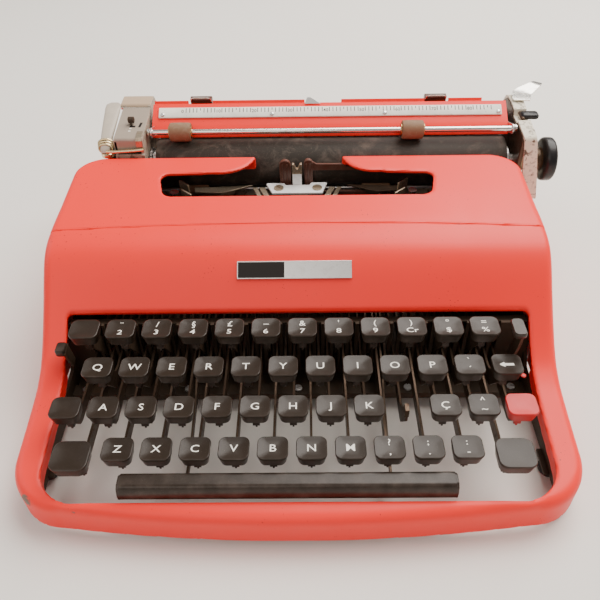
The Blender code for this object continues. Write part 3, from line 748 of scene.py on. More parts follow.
def cap_mesh(width, depth, corner=3.6, dish=0.75, height=CAP_HEIGHT):
    """A key cap with its top centre at the origin: dished face, crisp rim, sides that draw in below."""
    rings = [
        cap_ring(width - 4.4, depth - 4.4, corner - 1.2, -height + 1.8),
        cap_ring(width - 3.6, depth - 3.6, corner - 0.8, -height),
        cap_ring(width - 2.2, depth - 2.2, corner - 0.3, -height),
        cap_ring(width - 0.5, depth - 0.5, corner, -2.2),
        cap_ring(width, depth, corner, -1.0),
        cap_ring(width, depth, corner, -0.55),
        cap_ring(width - 0.25, depth - 0.25, corner - 0.1, -0.18),
        cap_ring(width - 0.8, depth - 0.8, corner - 0.3, 0.0),
        cap_ring(width - 1.6, depth - 1.6, corner - 0.6, -0.06),
    ]
    for share in (0.80, 0.6, 0.4, 0.2):
        ring = cap_ring(width - 1.6, depth - 1.6, corner - 0.6, 0.0)
        drop = -0.06 - dish * (1 - share ** 2)
        rings.append([(a * share, b * share, drop) for a, b, _ in ring])
    return loft(rings)


def dish_height(size, x, y, dish=0.75):
    """How far a cap's dished face lies under its rim, at a place measured from the cap's middle."""
    share = max(abs(x) / (size[0] / 2 - 0.8), abs(y) / (size[1] / 2 - 0.8))
    shares = (0.0, 0.2, 0.4, 0.6, 0.8, 1.0)
    return float(np.interp(share, shares, [-0.06 - dish * (1 - max(k, 0.2) ** 2) * (k < 1) for k in shares]))


def lever_outline(y, cap_bottom):
    """Side view of a key lever from its fork on the shaft to the foot under its cap."""
    knee = max(6.0, (cap_bottom - FULCRUM_Z - 4.0) * 0.9)
    top, low = FULCRUM_Z + 3.8, FULCRUM_Z - 3.8
    head = cap_bottom + 1.5
    slot = 2.5
    points = [(y - 2.6, head), (y + 2.6, head)]
    points += [(y + 2.9 + knee * 0.9, top + 1.6), (y + 3.4 + knee * 1.15, top)]
    points += arc((FULCRUM_Y, FULCRUM_Z), 5.2, 80, 30, 3)
    points += arc((FULCRUM_Y, FULCRUM_Z), slot, 20, 340, 9)
    points += arc((FULCRUM_Y, FULCRUM_Z), 5.2, -30, -80, 3)
    points += [(y + knee * 1.1, low), (y + knee * 0.75, low + 1.2), (y - 2.6, head - 5.2)]
    return points


def add_key(name, x, row_y, top, body, legend, replaces=(), lever_x=None, size=(15.8, 13.9),
            look=None, bare=False, big=False):
    lever_x = x if lever_x is None else lever_x
    outline = lever_outline(row_y, top - CAP_HEIGHT)
    lever = prism("X", outline, lever_x - 0.65, lever_x + 0.65)
    tip_z = top - CAP_HEIGHT + 0.5
    if bare:
        # The cap is lost: a bare bent tip with the nub that held it
        nub = box((lever_x - 1.1, lever_x + 1.1), (row_y - 2.4, row_y + 2.4), (tip_z - 1.0, tip_z + 4.4))
        lever = joined(lever, nub)
    piece(name + "_lever", lever, body, LEVER_STEEL, replaces if bare else (), 0.12, segments=1)
    if bare:
        return
    cap = cap_mesh(*size, corner=4.6 if big else 3.6)
    stem = joined(box((-1.9, 1.9), (-1.4, 2.6), (-15.2, -CAP_HEIGHT + 2.0)),
                  box((-0.5, 0.5), (-1.0, 2.0), (-17.0, -15.0)))
    stem.transform(Matrix.Translation((lever_x - x, 0, 0)))
    cap = joined(cap, stem)
    cap.transform(Matrix.Translation((x, row_y, top)))
    piece(name + "_cap", cap, body, look or KEY_PLASTIC, replaces)
    if not legend:
        return
    parts = legend.split("\n")
    places = [("_legend", parts[0], 6.0, 0.0)]
    if len(parts) == 2:
        places = [("_legend_upper", parts[0], 4.9, 3.0), ("_legend_lower", parts[1], 5.2, -2.7)]
    for suffix, letters, height, shift in places:
        text(name + suffix, letters, height, x, row_y + shift, top + 0.05, body,
             drape=lambda a, b, shift=shift: dish_height(size, a, b + shift))


def build_rows():
    first = {"number_row": -95.6, "letter_row": -105.9, "home_row": -100.7, "bottom_row": -91.3}
    order = ("bottom_row", "home_row", "letter_row", "number_row")
    for row, name in enumerate(order):
        for i, legend in enumerate(LEGENDS[name]):
            x = first[name] + PITCH * i
            if name in NODES:
                node = "key_" + NODES[name][i]
                bare = legend is None
                low, high = machine_box(node)
                row_y = row * ROW_STEP
                top = high.z if not bare else 49.43
                add_key(node, (low.x + high.x) / 2, row_y, top, node, legend, [node],
                        bare=bare)
                continue
            bank = name + "_keys"
            high = machine_box(bank)[1]
            replaces = [bank] if i == 0 else []
            add_key(f"{name}_{i:02d}", x, row * ROW_STEP, high.z, bank, legend, replaces)
        if name not in NODES:
            bank = name + "_keys"
            # The bank's joining bar lies behind the forks, at their upper or their lower prongs
            low_z, high_z = (28.4, 31.0) if row == 3 else (23.0, 25.6)
            prong_z = (29.6, 31.0) if row == 3 else (23.0, 24.4)
            ends = (first[name] - 1.0, first[name] + PITCH * 10 + 1.0)
            bars = [box(ends, (220.0, 224.0), (low_z, high_z))]
            for i in range(11):
                x = first[name] + PITCH * i
                bars.append(box((x - 0.6, x + 0.6), (209.0, 221.0), prong_z))
            piece(bank + "_bar", joined(*bars), bank, LEVER_STEEL, bevel=0.2)


def build_special_keys():
    """The keys at the ends of the rows: no legends, an arrow on one, one red."""
    for node, row, look, slot in (
        ("margin_release_key", 3, KEY_PLASTIC, "dark_plastic"),
        ("backspace_key", 2, KEY_PLASTIC, "dark_plastic"),
        ("shift_lock_key", 1, KEY_PLASTIC, "dark_plastic"), ("tab_key", 1, RED_PLASTIC, "red_plastic"),
    ):
        low, high = machine_box(node)
        add_key(node, (low.x + high.x) / 2, row * ROW_STEP, high.z, node, None, [node], look=look)
    low, high = machine_box("backspace_key")
    x, top = (low.x + high.x) / 2, high.z
    arrow = [(-4.4, 0), (-1.2, 1.7), (-1.2, 0.8), (3.8, 0.8), (3.8, -0.8), (-1.2, -0.8), (-1.2, -1.7)]
    mesh = prism("Z", [(x + a, 2 * ROW_STEP + b) for a, b in arrow], top - 0.72, top - 0.60)
    piece("backspace_arrow", mesh, "backspace_key", LEGEND_INK, smooth=False)
    low, high = machine_box("shift_keys")
    for side, x, lever_x in (("left", low.x + 9.4, -110.7), ("right", high.x - 9.4, 106.3)):
        replaces = ["shift_keys"] if side == "left" else []
        add_key("shift_" + side, x, -3.8, 40.0, "shift_keys", None, replaces, lever_x,
                (19.2, 17.6), big=True)
    cross = lathe("X", (162.0, 38.75), [(1.6, -111.2), (1.6, 106.8)], 16)
    links = [box((x - 0.8, x + 0.8), (159.6, 164.4), (FULCRUM_Z + 2.0, 40.6)) for x in (-110.7, 106.3)]
    piece("shift_cross_shaft", joined(cross, *links), "shift_keys", LEVER_STEEL)


def build_space_bar():
    """The hollow space bar on its two arms."""
    outline = [(-19.6, 24.2), (-19.9, 27.5), (-18.9, 31.0)] + arc((-16.3, 31.0), 2.4, 170, 90, 4)
    outline += [(-12.0, 33.2)] + arc((-11.0, 31.9), 1.4, 90, 10, 3)
    outline += [(-9.5, 28.5), (-11.0, 28.0), (-11.4, 31.2), (-16.4, 31.4), (-17.7, 30.4), (-18.4, 27.3),
                (-18.3, 24.2)]
    ends = [prism("X", [(-19.7, 24.2), (-19.8, 28.0), (-18.6, 31.6), (-16.4, 33.2), (-11.4, 33.2),
                        (-9.7, 31.6),
                        (-9.5, 28.2), (-14.0, 26.0)], *x) for x in ((-90.0, -88.4), (78.4, 80.0))]
    bar = joined(prism("X", outline, -89.0, 79.0), *ends)
    piece("space_bar_cap", bar, "space_bar", KEY_PLASTIC, ["space_bar"], 0.45)
    rear = lever_outline(0.0, 33.0)[4:19][::-1]
    for i, x in enumerate((-58.75, 49.3)):
        side = [(-15.0, 31.0), (-15.0, 25.5), (-9.0, 12.8), (14.0, 12.8), (44.0, 18.4), (62.0, 23.4), *rear,
                (62.0, FULCRUM_Z + 3.8), (46.0, 23.2), (14.0, 17.0), (-7.0, 17.0), (-11.5, 28.5)]
        arm = prism("X", side, x - 0.6, x + 0.6)
        piece(f"space_bar_arm_{i}", arm, "space_bar", LEVER_STEEL, bevel=0.1, segments=1)


# Chassis, feet and the small levers beside the top row


def dress(node, look):
    """Gives a CAD node that stays in view its finished material."""
    mesh = frame["nodes"][node].data
    mesh.materials.clear()
    mesh.materials.append(look)


def build_chassis():
    dress("chassis", DARK_STEEL)
    dress("carriage_rail", NICKEL)
    for name in ("foot_front_left", "foot_front_right", "foot_rear_left", "foot_rear_right"):
        low, high = machine_box(name)
        x, y = (low.x + high.x) / 2, (low.y + high.y) / 2
        profile = [(4.6, 0.0), (5.6, 0.5), (6.0, 1.6), (6.0, 3.4), (5.2, 4.2), (5.2, 4.9), (5.8, 5.4),
                   (5.8, 6.0)]
        piece(name + "_rubber", lathe("Z", (x, y), profile, 36), "frame", FOOT_RUBBER, [name])
    springs = []
    for x in lever_places():
        springs.append(coil((x, 178.0, 18.2), (x, 194.0, 18.2), 1.4, 12, 0.26, 10))
    piece("key_return_springs", joined(*springs), "frame", NICKEL)
    anchor = box((-136.0, 136.0), (173.0, 178.4), (16.4, 17.6))
    flange = box((-136.0, 136.0), (173.0, 174.2), (7.6, 17.6))
    pan = box((-135.9, 135.9), (60.0, 150.0), (6.5, 7.5))
    hem = box((-135.9, 135.9), (149.0, 150.0), (6.5, 9.5))
    piece("lower_pan", joined(pan, hem), "frame", DARK_STEEL, bevel=0.3)
    piece("spring_anchor_strip", joined(anchor, flange), "frame", DARK_STEEL, bevel=0.3)
    guide = box((-133.5, 133.5), (78.6, 83.0), (49.6, 51.0))
    piece("comb_edge_fold", guide, "frame", DARK_STEEL, bevel=0.4)
    heads = []
    for x in (-128.0, -66.0, 0.0, 66.0, 128.0):
        heads.append(screw("Z", (x, 62.0), 11.0, 1, 2.4, 1.1, 20 + x))
    piece("front_bar_screws", joined(*heads), "frame", NICKEL)


def lever_places():
    """Every x at which a key lever runs."""
    places = [first + PITCH * i for first, count in ((-95.6, 11), (-105.9, 11), (-100.7, 11), (-91.3, 10))
              for i in range(count)]
    return sorted(places + [-115.32, 111.02, -120.42, 116.22, -110.7, 106.3])


def lever_tip(size, centre, levels):
    """The rounded plastic tip of a small lever, from (height, growth) levels."""
    width, depth, corner = size
    rings = []
    for z, grow in levels:
        ring = cap_ring(width + grow, depth + grow, corner, z, 5)
        rings.append([(a + centre[0], b + centre[1], c) for a, b, c in ring])
    return loft(rings)


def build_front_levers():
    """The ribbon colour lever at the right and the tab set lever at the left of the keyboard."""
    arm = prism("X", [(48.0, 60.0), (46.6, 71.5), (56.4, 72.6), (56.0, 60.0), (61.5, 34.0), (56.5, 32.0)],
                118.1, 119.7)
    tip = lever_tip((7.0, 12.4, 2.2), (117.4, 51.6), ((69.8, -0.8), (70.6, 0.0), (72.6, 0.0), (73.5, -0.9)))
    piece("ribbon_colour_arm", arm, "ribbon_colour_lever", LEVER_STEEL,
          ["ribbon_colour_lever"], 0.2)
    piece("ribbon_colour_tip", tip, "ribbon_colour_lever", KEY_PLASTIC)
    dot = lathe("Z", (124.6, 44.6), [(1.5, 41.6), (1.5, 42.2), (1.1, 42.5)], 20)
    piece("colour_mark_dot", dot, "frame", RED_PLASTIC)
    arm = prism("X", [(55.6, 50.0), (62.6, 51.6), (65.6, 36.0), (60.4, 34.4)], -131.3, -129.7)
    tip = lever_tip((5.8, 7.8, 1.6), (-132.7, 59.2), ((48.2, -0.6), (48.9, 0.0), (51.8, 0.0), (52.5, -0.8)))
    piece("tab_set_arm", arm, "tab_set_lever", LEVER_STEEL, ["tab_set_lever"], 0.2)
    piece("tab_set_tip", tip, "tab_set_lever", KEY_PLASTIC)


def build_name_plate():
    """A blank plate on the front panel: black at the left, brushed silver at the right."""
    ends = [Vector((y, float(top_height(y)[0]))) for y in (91.5, 103.5)]
    along = (ends[1] - ends[0]).normalized()
    out = Vector((-along.y, along.x))
    middle = (ends[0] + ends[1]) / 2 + out * 0.15
    half = 5.2

    def sheet(x_low, x_high, thickness, inset):
        corners = [middle - along * (half - inset), middle + along * (half - inset)]
        outline = [tuple(corners[0]), tuple(corners[1]), tuple(corners[1] + out * thickness),
                   tuple(corners[0] + out * thickness)]
        return prism("X", outline, x_low, x_high)

    piece("name_plate_base", sheet(-34.6, 31.8, 1.0, 0.0), "frame", NICKEL, bevel=0.25)
    piece("name_plate_dark_field", sheet(-34.0, -7.2, 1.12, 0.6), "frame", BLACK_INK,
          smooth=False)


# Carriage


PICA = 2.54
SCALE_START = -81.2
PLATEN_AXIS = (222.0, 72.0)
BAIL_AXIS = (221.5, 96.6)
BAIL_PIVOT = (248.0, 86.0)
FRONT_FEED_AXIS = (209.8, 57.6)
REAR_FEED_AXIS = (240.0, 58.5)
TROUGH_ENDS = (-104.5, 152.5)
SCALE_ALONG = Vector((0.0, 23.0, 14.0)).normalized()
SCALE_OUT = Vector((0.0, -14.0, 23.0)).normalized()


def on_table(distance, lift):
    """A point (y, z) on the paper table's face, measured up from its lower bend."""
    spot = Vector((0.0, 232.0, 97.0)) + SCALE_ALONG * distance + SCALE_OUT * lift
    return spot.y, spot.z


def build_paper_table():
    """The red paper table with its rear lips and pointer."""
    face = [(227.0, 89.6), (227.3, 91.6), (229.0, 94.0), (232.0, 96.4), (236.0, 98.9), (243.0, 103.1),
            (245.8, 104.7), (246.8, 104.5), (247.2, 103.2), (247.2, 100.0)]
    sheet = prism("X", strip(face, 1.1), -102.5, 148.5)
    piece("paper_table_sheet", sheet, "carriage", TABLE_ENAMEL, ["paper_table"])
    for i, ends in enumerate(((-102.0, -77.6), (-60.4, 5.4), (31.6, 91.0), (108.0, 132.0))):
        lip = prism("X", strip([(246.6, 103.4), (248.2, 104.6), (248.6, 106.6)], 0.9), *ends)
        piece(f"paper_table_rear_lip_{i}", lip, "carriage", TABLE_ENAMEL, bevel=0.25)
    guide = [(5.6, 0.0), (17.0, 0.0), (9.6, 4.6), (7.2, 4.6)]
    sheet = prism("Z", guide, 0.0, 0.6)
    sheet.transform(Matrix.Translation((0.0, 244.6, 105.2)) @ Matrix.Rotation(math.radians(48.0), 4, "X"))
    piece("paper_guide_pointer", sheet, "carriage", NICKEL, bevel=0.1)


def build_scale():
    """The line scale with its ticks, numbers and rivets."""
    low, high = (-98.0, 144.5)
    outline = [on_table(4.5, 0.25), on_table(12.5, 0.25), on_table(12.5, 1.3), on_table(12.1, 1.5),
               on_table(4.9, 1.5), on_table(4.5, 1.3)]
    piece("scale_strip", prism("X", outline, low, high), "carriage", SCALE_CREAM,
          ["paper_scale"], 0.2)
    ticks = []
    for i in range(1, 88):
        x = SCALE_START + PICA * i
        length = 1.8 if i % 5 == 0 else 3.4
        if i % 10 == 0 or x > high - 6:
            continue
        side = [on_table(11.7, 1.48), on_table(11.7, 1.56), on_table(11.7 - length, 1.56),
                on_table(11.7 - length, 1.48)]
        ticks.append(prism("X", side, x - 0.24, x + 0.24))
    piece("scale_ticks", joined(*ticks), "carriage", BLACK_INK, smooth=False)
    tilt = Matrix.Rotation(math.atan2(14.0, 23.0), 4, "X")
    for i in range(9):
        y, z = on_table(9.2, 1.52)
        text(f"scale_number_{i}", str(i * 10), 3.6, SCALE_START + PICA * 10 * i, y, z, "carriage", BLACK_INK,
             1.0, 0.0, tilt)
    heads = []
    for x in (-95.2, -17.7, 62.0, 142.0):
        y, z = on_table(6.6, 1.4)
        head = lathe("Z", (0.0, 0.0), [(1.5, 0.0), (1.5, 0.5), (1.2, 0.9), (0.6, 1.1)], 20)
        head.transform(Matrix.Translation((x, y, z)) @ tilt)
        heads.append(head)
    piece("scale_rivets", joined(*heads), "carriage", NICKEL)


def build_platen():
    """The rubber roller with its shaft, ratchet, thin left disc and right knob."""
    low = machine_box("platen")[0]
    core = [(15.2, -99.0), (16.4, -98.8), (17.0, -98.0), (17.0, 145.0), (16.4, 145.8), (15.2, 146.0)]
    piece("platen_roller", lathe("X", PLATEN_AXIS, core, 96), "platen", PLATEN_RUBBER,
          ["platen"])
    shaft = [(3.2, low.x), (4.0, low.x + 0.8), (4.0, 176.0)]
    ends = [lathe("X", PLATEN_AXIS, [(9.0, x0), (9.6, x0 + 0.6), (9.6, x0 + 3.0), (8.8, x0 + 3.6)], 40)
            for x0 in (-102.6, 146.2)]
    teeth = []
    for i in range(26):
        turn = 2 * math.pi * i / 26
        tooth = box((-104.2, -102.8), (-0.9, 0.9), (7.6, 11.0))
        tooth.transform(Matrix.Translation((0, *PLATEN_AXIS)) @ Matrix.Rotation(turn, 4, "X"))
        teeth.append(tooth)
    ratchet = lathe("X", PLATEN_AXIS, [(8.6, -104.2), (8.6, -102.8)], 40)
    piece("platen_shaft", joined(lathe("X", PLATEN_AXIS, shaft, 32), ratchet, *ends, *teeth), "platen",
          NICKEL)
    disc = [(3.0, low.x), (11.0, low.x), (13.4, low.x + 0.5), (14.5, low.x + 1.8), (14.5, low.x + 5.6),
            (13.6, low.x + 7.0), (9.0, low.x + 7.9)]
    piece("platen_left_disc", lathe("X", PLATEN_AXIS, disc, 64), "platen", KNOB_PLASTIC)
    rim = [(7.0, 173.5), (12.0, 173.7), (14.2, 174.3), (15.0, 175.1), (15.3, 176.2), (15.3, 179.8),
           (15.0, 181.0),
           (14.2, 181.8), (11.8, 182.0), (11.3, 181.4), (6.4, 181.4), (6.0, 182.0), (2.6, 182.0)]
    piece("platen_knob_grip", lathe("X", PLATEN_AXIS, rim, 96), "platen", KNOB_PLASTIC,
          ["platen_knob"])
    hub = [(6.6, 168.6), (7.4, 169.2), (7.4, 172.6), (9.0, 173.6)]
    piece("platen_knob_hub", lathe("X", PLATEN_AXIS, hub, 40), "platen", LEVER_STEEL)


def left_top(y):
    """The height of the left casting's top plate."""
    return 99.3 + (y - 208.2) * 0.0966


def on_left(points, lift=0.06, thickness=0.2):
    """A thin inlay that follows the left casting's top plate."""
    return loft([[(x, y, left_top(y) + height) for x, y in points] for height in (lift - thickness, lift)])


def build_end_plates():
    """The left and right castings that carry the platen."""
    flat = [(205.6, 49.0), (205.6, 88.0), (207.0, 88.6), (207.0, 97.2)] + arc((208.8, 97.4), 1.8, 180, 100, 4)
    flat += [(246.2, left_top(246.2)), (246.5, 104.2), (262.0, 104.2), (268.0, 96.0), (268.0, 49.0)]
    outer = prism("X", flat, -125.0, -122.4)
    inner = prism("X", flat, -107.4, -105.0)
    top_path = [(207.8, 90.0), (207.8, 97.4)] + arc((209.2, 97.4), 1.4, 180, 100, 4)
    top_path += [(226.0, left_top(226.0) - 0.8), (246.2, left_top(246.2) - 0.8)]
    top = prism("X", strip(top_path, 1.6), -124.6, -105.4)
    foot = box((-124.0, -106.0), (206.2, 267.0), (49.0, 51.4))
    front = box((-124.0, -106.0), (206.0, 208.0), (50.0, 88.2))
    rear = box((-124.0, -106.0), (264.8, 267.4), (50.0, 95.0))
    piece("left_casting", joined(outer, inner, foot, front, rear), "carriage", GREY_CASTING,
          ["left_end_plate"], 0.6)
    piece("left_casting_top", top, "carriage", TOP_GREY, bevel=0.3)
    block = [(246.6, 101.4), (246.6, 102.4)] + arc((248.9, 102.8), 2.3, 180, 90, 4)
    block += arc((259.4, 102.5), 2.6, 90, 0, 4) + [(262.4, 98.0)]
    piece("left_casting_block", prism("X", block, -126.6, -105.2), "carriage", BLOCK_TAN,
          bevel=0.5)
    rim = prism("X", strip([(246.2, 101.6), (246.1, 103.4)], 0.7), -126.4, -105.4)
    piece("left_block_edge", rim, "carriage", CHROME, bevel=0.15)
    # The slots of the line space selector, laid as flat black inlays of painted shade, and its marks
    slot = on_left([(-118.2, 208.6), (-112.6, 208.6), (-112.0, 223.4), (-115.8, 223.4)])
    branch = on_left([(-110.8, 216.6), (-109.2, 216.6), (-107.6, 227.0), (-109.4, 227.0)])
    groove = on_left([(-112.4, 209.0), (-111.0, 209.0), (-110.4, 216.0), (-111.6, 216.0)])
    piece("selector_slots_painted_shade", joined(slot, branch, groove), "carriage", BLACK_INK, smooth=False)
    marks = [on_left([(-116.4 + 0.16 * i, y), (-114.8 + 0.16 * i, y), (-114.8 + 0.16 * i, y + 1.0),
                      (-116.4 + 0.16 * i, y + 1.0)], 0.12, 0.1)
             for i, y in enumerate((210.0, 213.2, 216.4, 219.6))]
    piece("selector_marks", joined(*marks), "carriage", SCALE_CREAM, smooth=False)
    link = loft([[(x, 205.4 + 1.2 * math.cos(a), z + 1.2 * math.sin(a))
                  for a in (2 * math.pi * k / 16 for k in range(16))]
                 for x, z in ((-130.6, 91.0), (-126.0, 90.8), (-112.0, 91.6), (-104.6, 92.4))])
    piece("line_space_link", link, "carriage", LINK_BRASS)
    clip = strip([(206.3, 93.8), (206.3, 98.4), (207.6, 99.9), (215.4, 100.6)], 0.8)
    piece("left_brass_clip", prism("X", clip, -109.6, -105.2), "carriage", TAN_STEEL,
          bevel=0.2)

    # The right casting: a rim that slants out towards the foot, round a web in dark steel as painted shade
    side = [(205.7, 49.0), (205.6, 67.0), (205.6, 94.6)] + arc((208.9, 94.8), 3.3, 180, 104, 4)
    side += [(216.0, 98.9), (226.4, 100.1), (226.9, 97.6), (238.2, 97.6), (238.8, 102.2), (250.0, 103.9)]
    side += [(258.0, 103.3), (263.0, 101.6), (268.6, 96.0), (271.6, 91.2), (272.0, 67.0), (272.0, 49.0)]
    rings = []
    for i, (y, z) in enumerate(side):
        before = Vector(side[max(i - 1, 0)])
        after = Vector(side[min(i + 1, len(side) - 1)])
        along = (after - before).normalized()
        deep_y, deep_z = y + along.y * 2.4, z - along.x * 2.4
        left = float(np.interp(z, (49.0, 67.0, 100.0), (165.0, 158.6, 153.6)))
        right = float(np.interp(z, (49.0, 67.0, 97.0, 104.0), (172.3, 169.0, 162.5, 162.3)))
        rings.append([(left, y, z), (right, y, z), (right, deep_y, deep_z), (left, deep_y, deep_z)])
    foot = box((153.6, 172.2), (206.0, 271.0), (49.0, 51.6))
    piece("right_casting_rim", joined(loft(rings), foot), "carriage", CASTING,
          ["right_end_plate"], 0.7)
    # The web's dark steel is painted shade: the casting's inner face lies in shadow inside its cream rim
    web = [(207.0, 50.0), (207.0, 94.4), (210.0, 97.0), (226.0, 98.8), (226.4, 96.6), (238.8, 96.6),
           (239.2, 101.0),
           (250.0, 102.6), (258.0, 102.0), (267.4, 95.0), (270.6, 90.4), (270.6, 50.0)]
    piece("right_casting_web_painted_shade", prism("X", web, 153.2, 156.0), "carriage", LEVER_STEEL,
          bevel=0.4)
    boss = lathe("X", PLATEN_AXIS, [(10.0, 155.8), (10.0, 157.0), (7.8, 158.0), (7.8, 167.6), (7.0, 168.2)],
                 40)
    piece("right_bearing_boss", boss, "carriage", TAN_STEEL)
    boss = lathe("X", PLATEN_AXIS, [(8.6, -127.0), (9.2, -126.4), (9.2, -124.0)], 40)
    piece("left_bearing_boss", boss, "carriage", TAN_STEEL)
    heads = [screw("X", (y, z), 156.0, 1, 2.6, 1.2, turn) for y, z, turn in
             ((214.0, 60.0, 25), (262.0, 60.0, 80), (262.0, 84.0, 140), (240.0, 88.0, 50))]
    heads += [screw("X", (y, z), -125.0, -1, 2.6, 1.2, turn) for y, z, turn in
              ((214.0, 58.0, 15), (262.0, 58.0, 70), (256.0, 92.0, 110))]
    piece("end_plate_screws", joined(*heads), "carriage", NICKEL)


def build_carriage_frame():
    """The trough under the platen with the margin rack and the feed rollers."""
    floor = box(TROUGH_ENDS, (214.0, 258.5), (48.5, 50.3))
    lip = box(TROUGH_ENDS, (213.6, 215.2), (48.5, 53.6))
    rear = box(TROUGH_ENDS, (256.7, 258.5), (49.0, 91.5))
    ribs = [box(TROUGH_ENDS, (258.1, 259.5), (z, z + 3.4)) for z in (53.0, 86.0)]
    ribs += [box((x, x + 4.0), (258.1, 259.3), (54.0, 88.0)) for x in (-98.0, -34.0, 30.0, 84.0, 142.0)]
    piece("carriage_trough", joined(floor, lip, rear, *ribs), "carriage", GREY_CASTING,
          ["carriage_frame"], 0.5)
    bar = lathe("X", (254.6, 90.0), [(2.4, -104.5), (2.4, 152.5)], 24)
    teeth = [box((x, x + 1.2), (253.3, 255.9), (91.6, 92.7))
             for x in (-100.0 + PICA * i for i in range(98))]
    piece("margin_rack", joined(bar, *teeth), "carriage", NICKEL, smooth=False)
    heads = [screw("Y", (x, 72.0), 258.5, 1, 3.0, 1.2, 30 + x) for x in (-96.0, 0.0, 60.0, 144.0)]
    piece("carriage_trough_screws", joined(*heads), "carriage", NICKEL)
    feed = [lathe("X", REAR_FEED_AXIS, [(5.4, x), (5.8, x + 0.6), (5.8, x + 27.4), (5.4, x + 28.0)], 28)
            for x in (-88.0, -22.0, 44.0, 108.0)]
    feed += [lathe("X", FRONT_FEED_AXIS, [(4.0, x), (4.4, x + 0.5), (4.4, x + 19.5), (4.0, x + 20.0)], 24)
             for x in (-84.0, -20.0, 46.0, 112.0)]
    piece("feed_rollers", joined(*feed), "carriage", ROLLER_RUBBER)
    rods = [lathe("X", REAR_FEED_AXIS, [(1.5, -104.0), (1.5, 152.0)], 16),
            lathe("X", FRONT_FEED_AXIS, [(1.3, -104.0), (1.3, 152.0)], 16)]
    piece("feed_roller_rods", joined(*rods), "carriage", NICKEL)


def build_bail():
    """The paper bail: rod, arms and two rollers."""
    low, high = machine_box("paper_bail")
    rod = [(1.2, low.x), (2.6, low.x + 0.3), (2.9, low.x + 1.0), (2.9, low.x + 1.8), (1.9, low.x + 2.4),
           (1.9, high.x - 2.4), (2.9, high.x - 1.8), (2.9, high.x - 1.0), (2.6, high.x - 0.3), (1.2, high.x)]
    piece("bail_rod", lathe("X", BAIL_AXIS, rod, 32), "paper_bail", CHROME, ["paper_bail"])
    arms = []
    for x in (low.x + 2.6, high.x - 3.8):
        outline = arc(BAIL_AXIS, 3.6, 100, 260, 8) + arc(BAIL_PIVOT, 4.2, -110, 60, 8)
        arms.append(prism("X", outline, x, x + 1.2))
    pins = [lathe("X", BAIL_PIVOT, [(2.6, x - 0.6), (2.6, x + 1.8)], 24) for x in (low.x + 2.6, high.x - 3.8)]
    piece("bail_arms", joined(*arms, *pins), "paper_bail", NICKEL, bevel=0.2)
    for side, x in (("left", -81.0), ("right", 80.0)):
        name = "bail_roller_" + side
        tyre = [(2.1, x - 7.4), (5.6, x - 7.4), (6.2, x - 6.9), (6.4, x - 5.6), (6.5, x), (6.4, x + 5.6),
                (6.2, x + 6.9), (5.6, x + 7.4), (2.1, x + 7.4)]
        piece(name + "_tyre", lathe("X", BAIL_AXIS, tyre, 48), name, ROLLER_RUBBER, [name])
        rings = [lathe("X", BAIL_AXIS, [(2.1, x + s * 7.4), (4.4, x + s * 7.5), (4.4, x + s * 8.1),
                                        (2.1, x + s * 8.2)], 32)
                 for s in (-1, 1)]
        piece(name + "_ends", joined(*rings), name, BRASS)


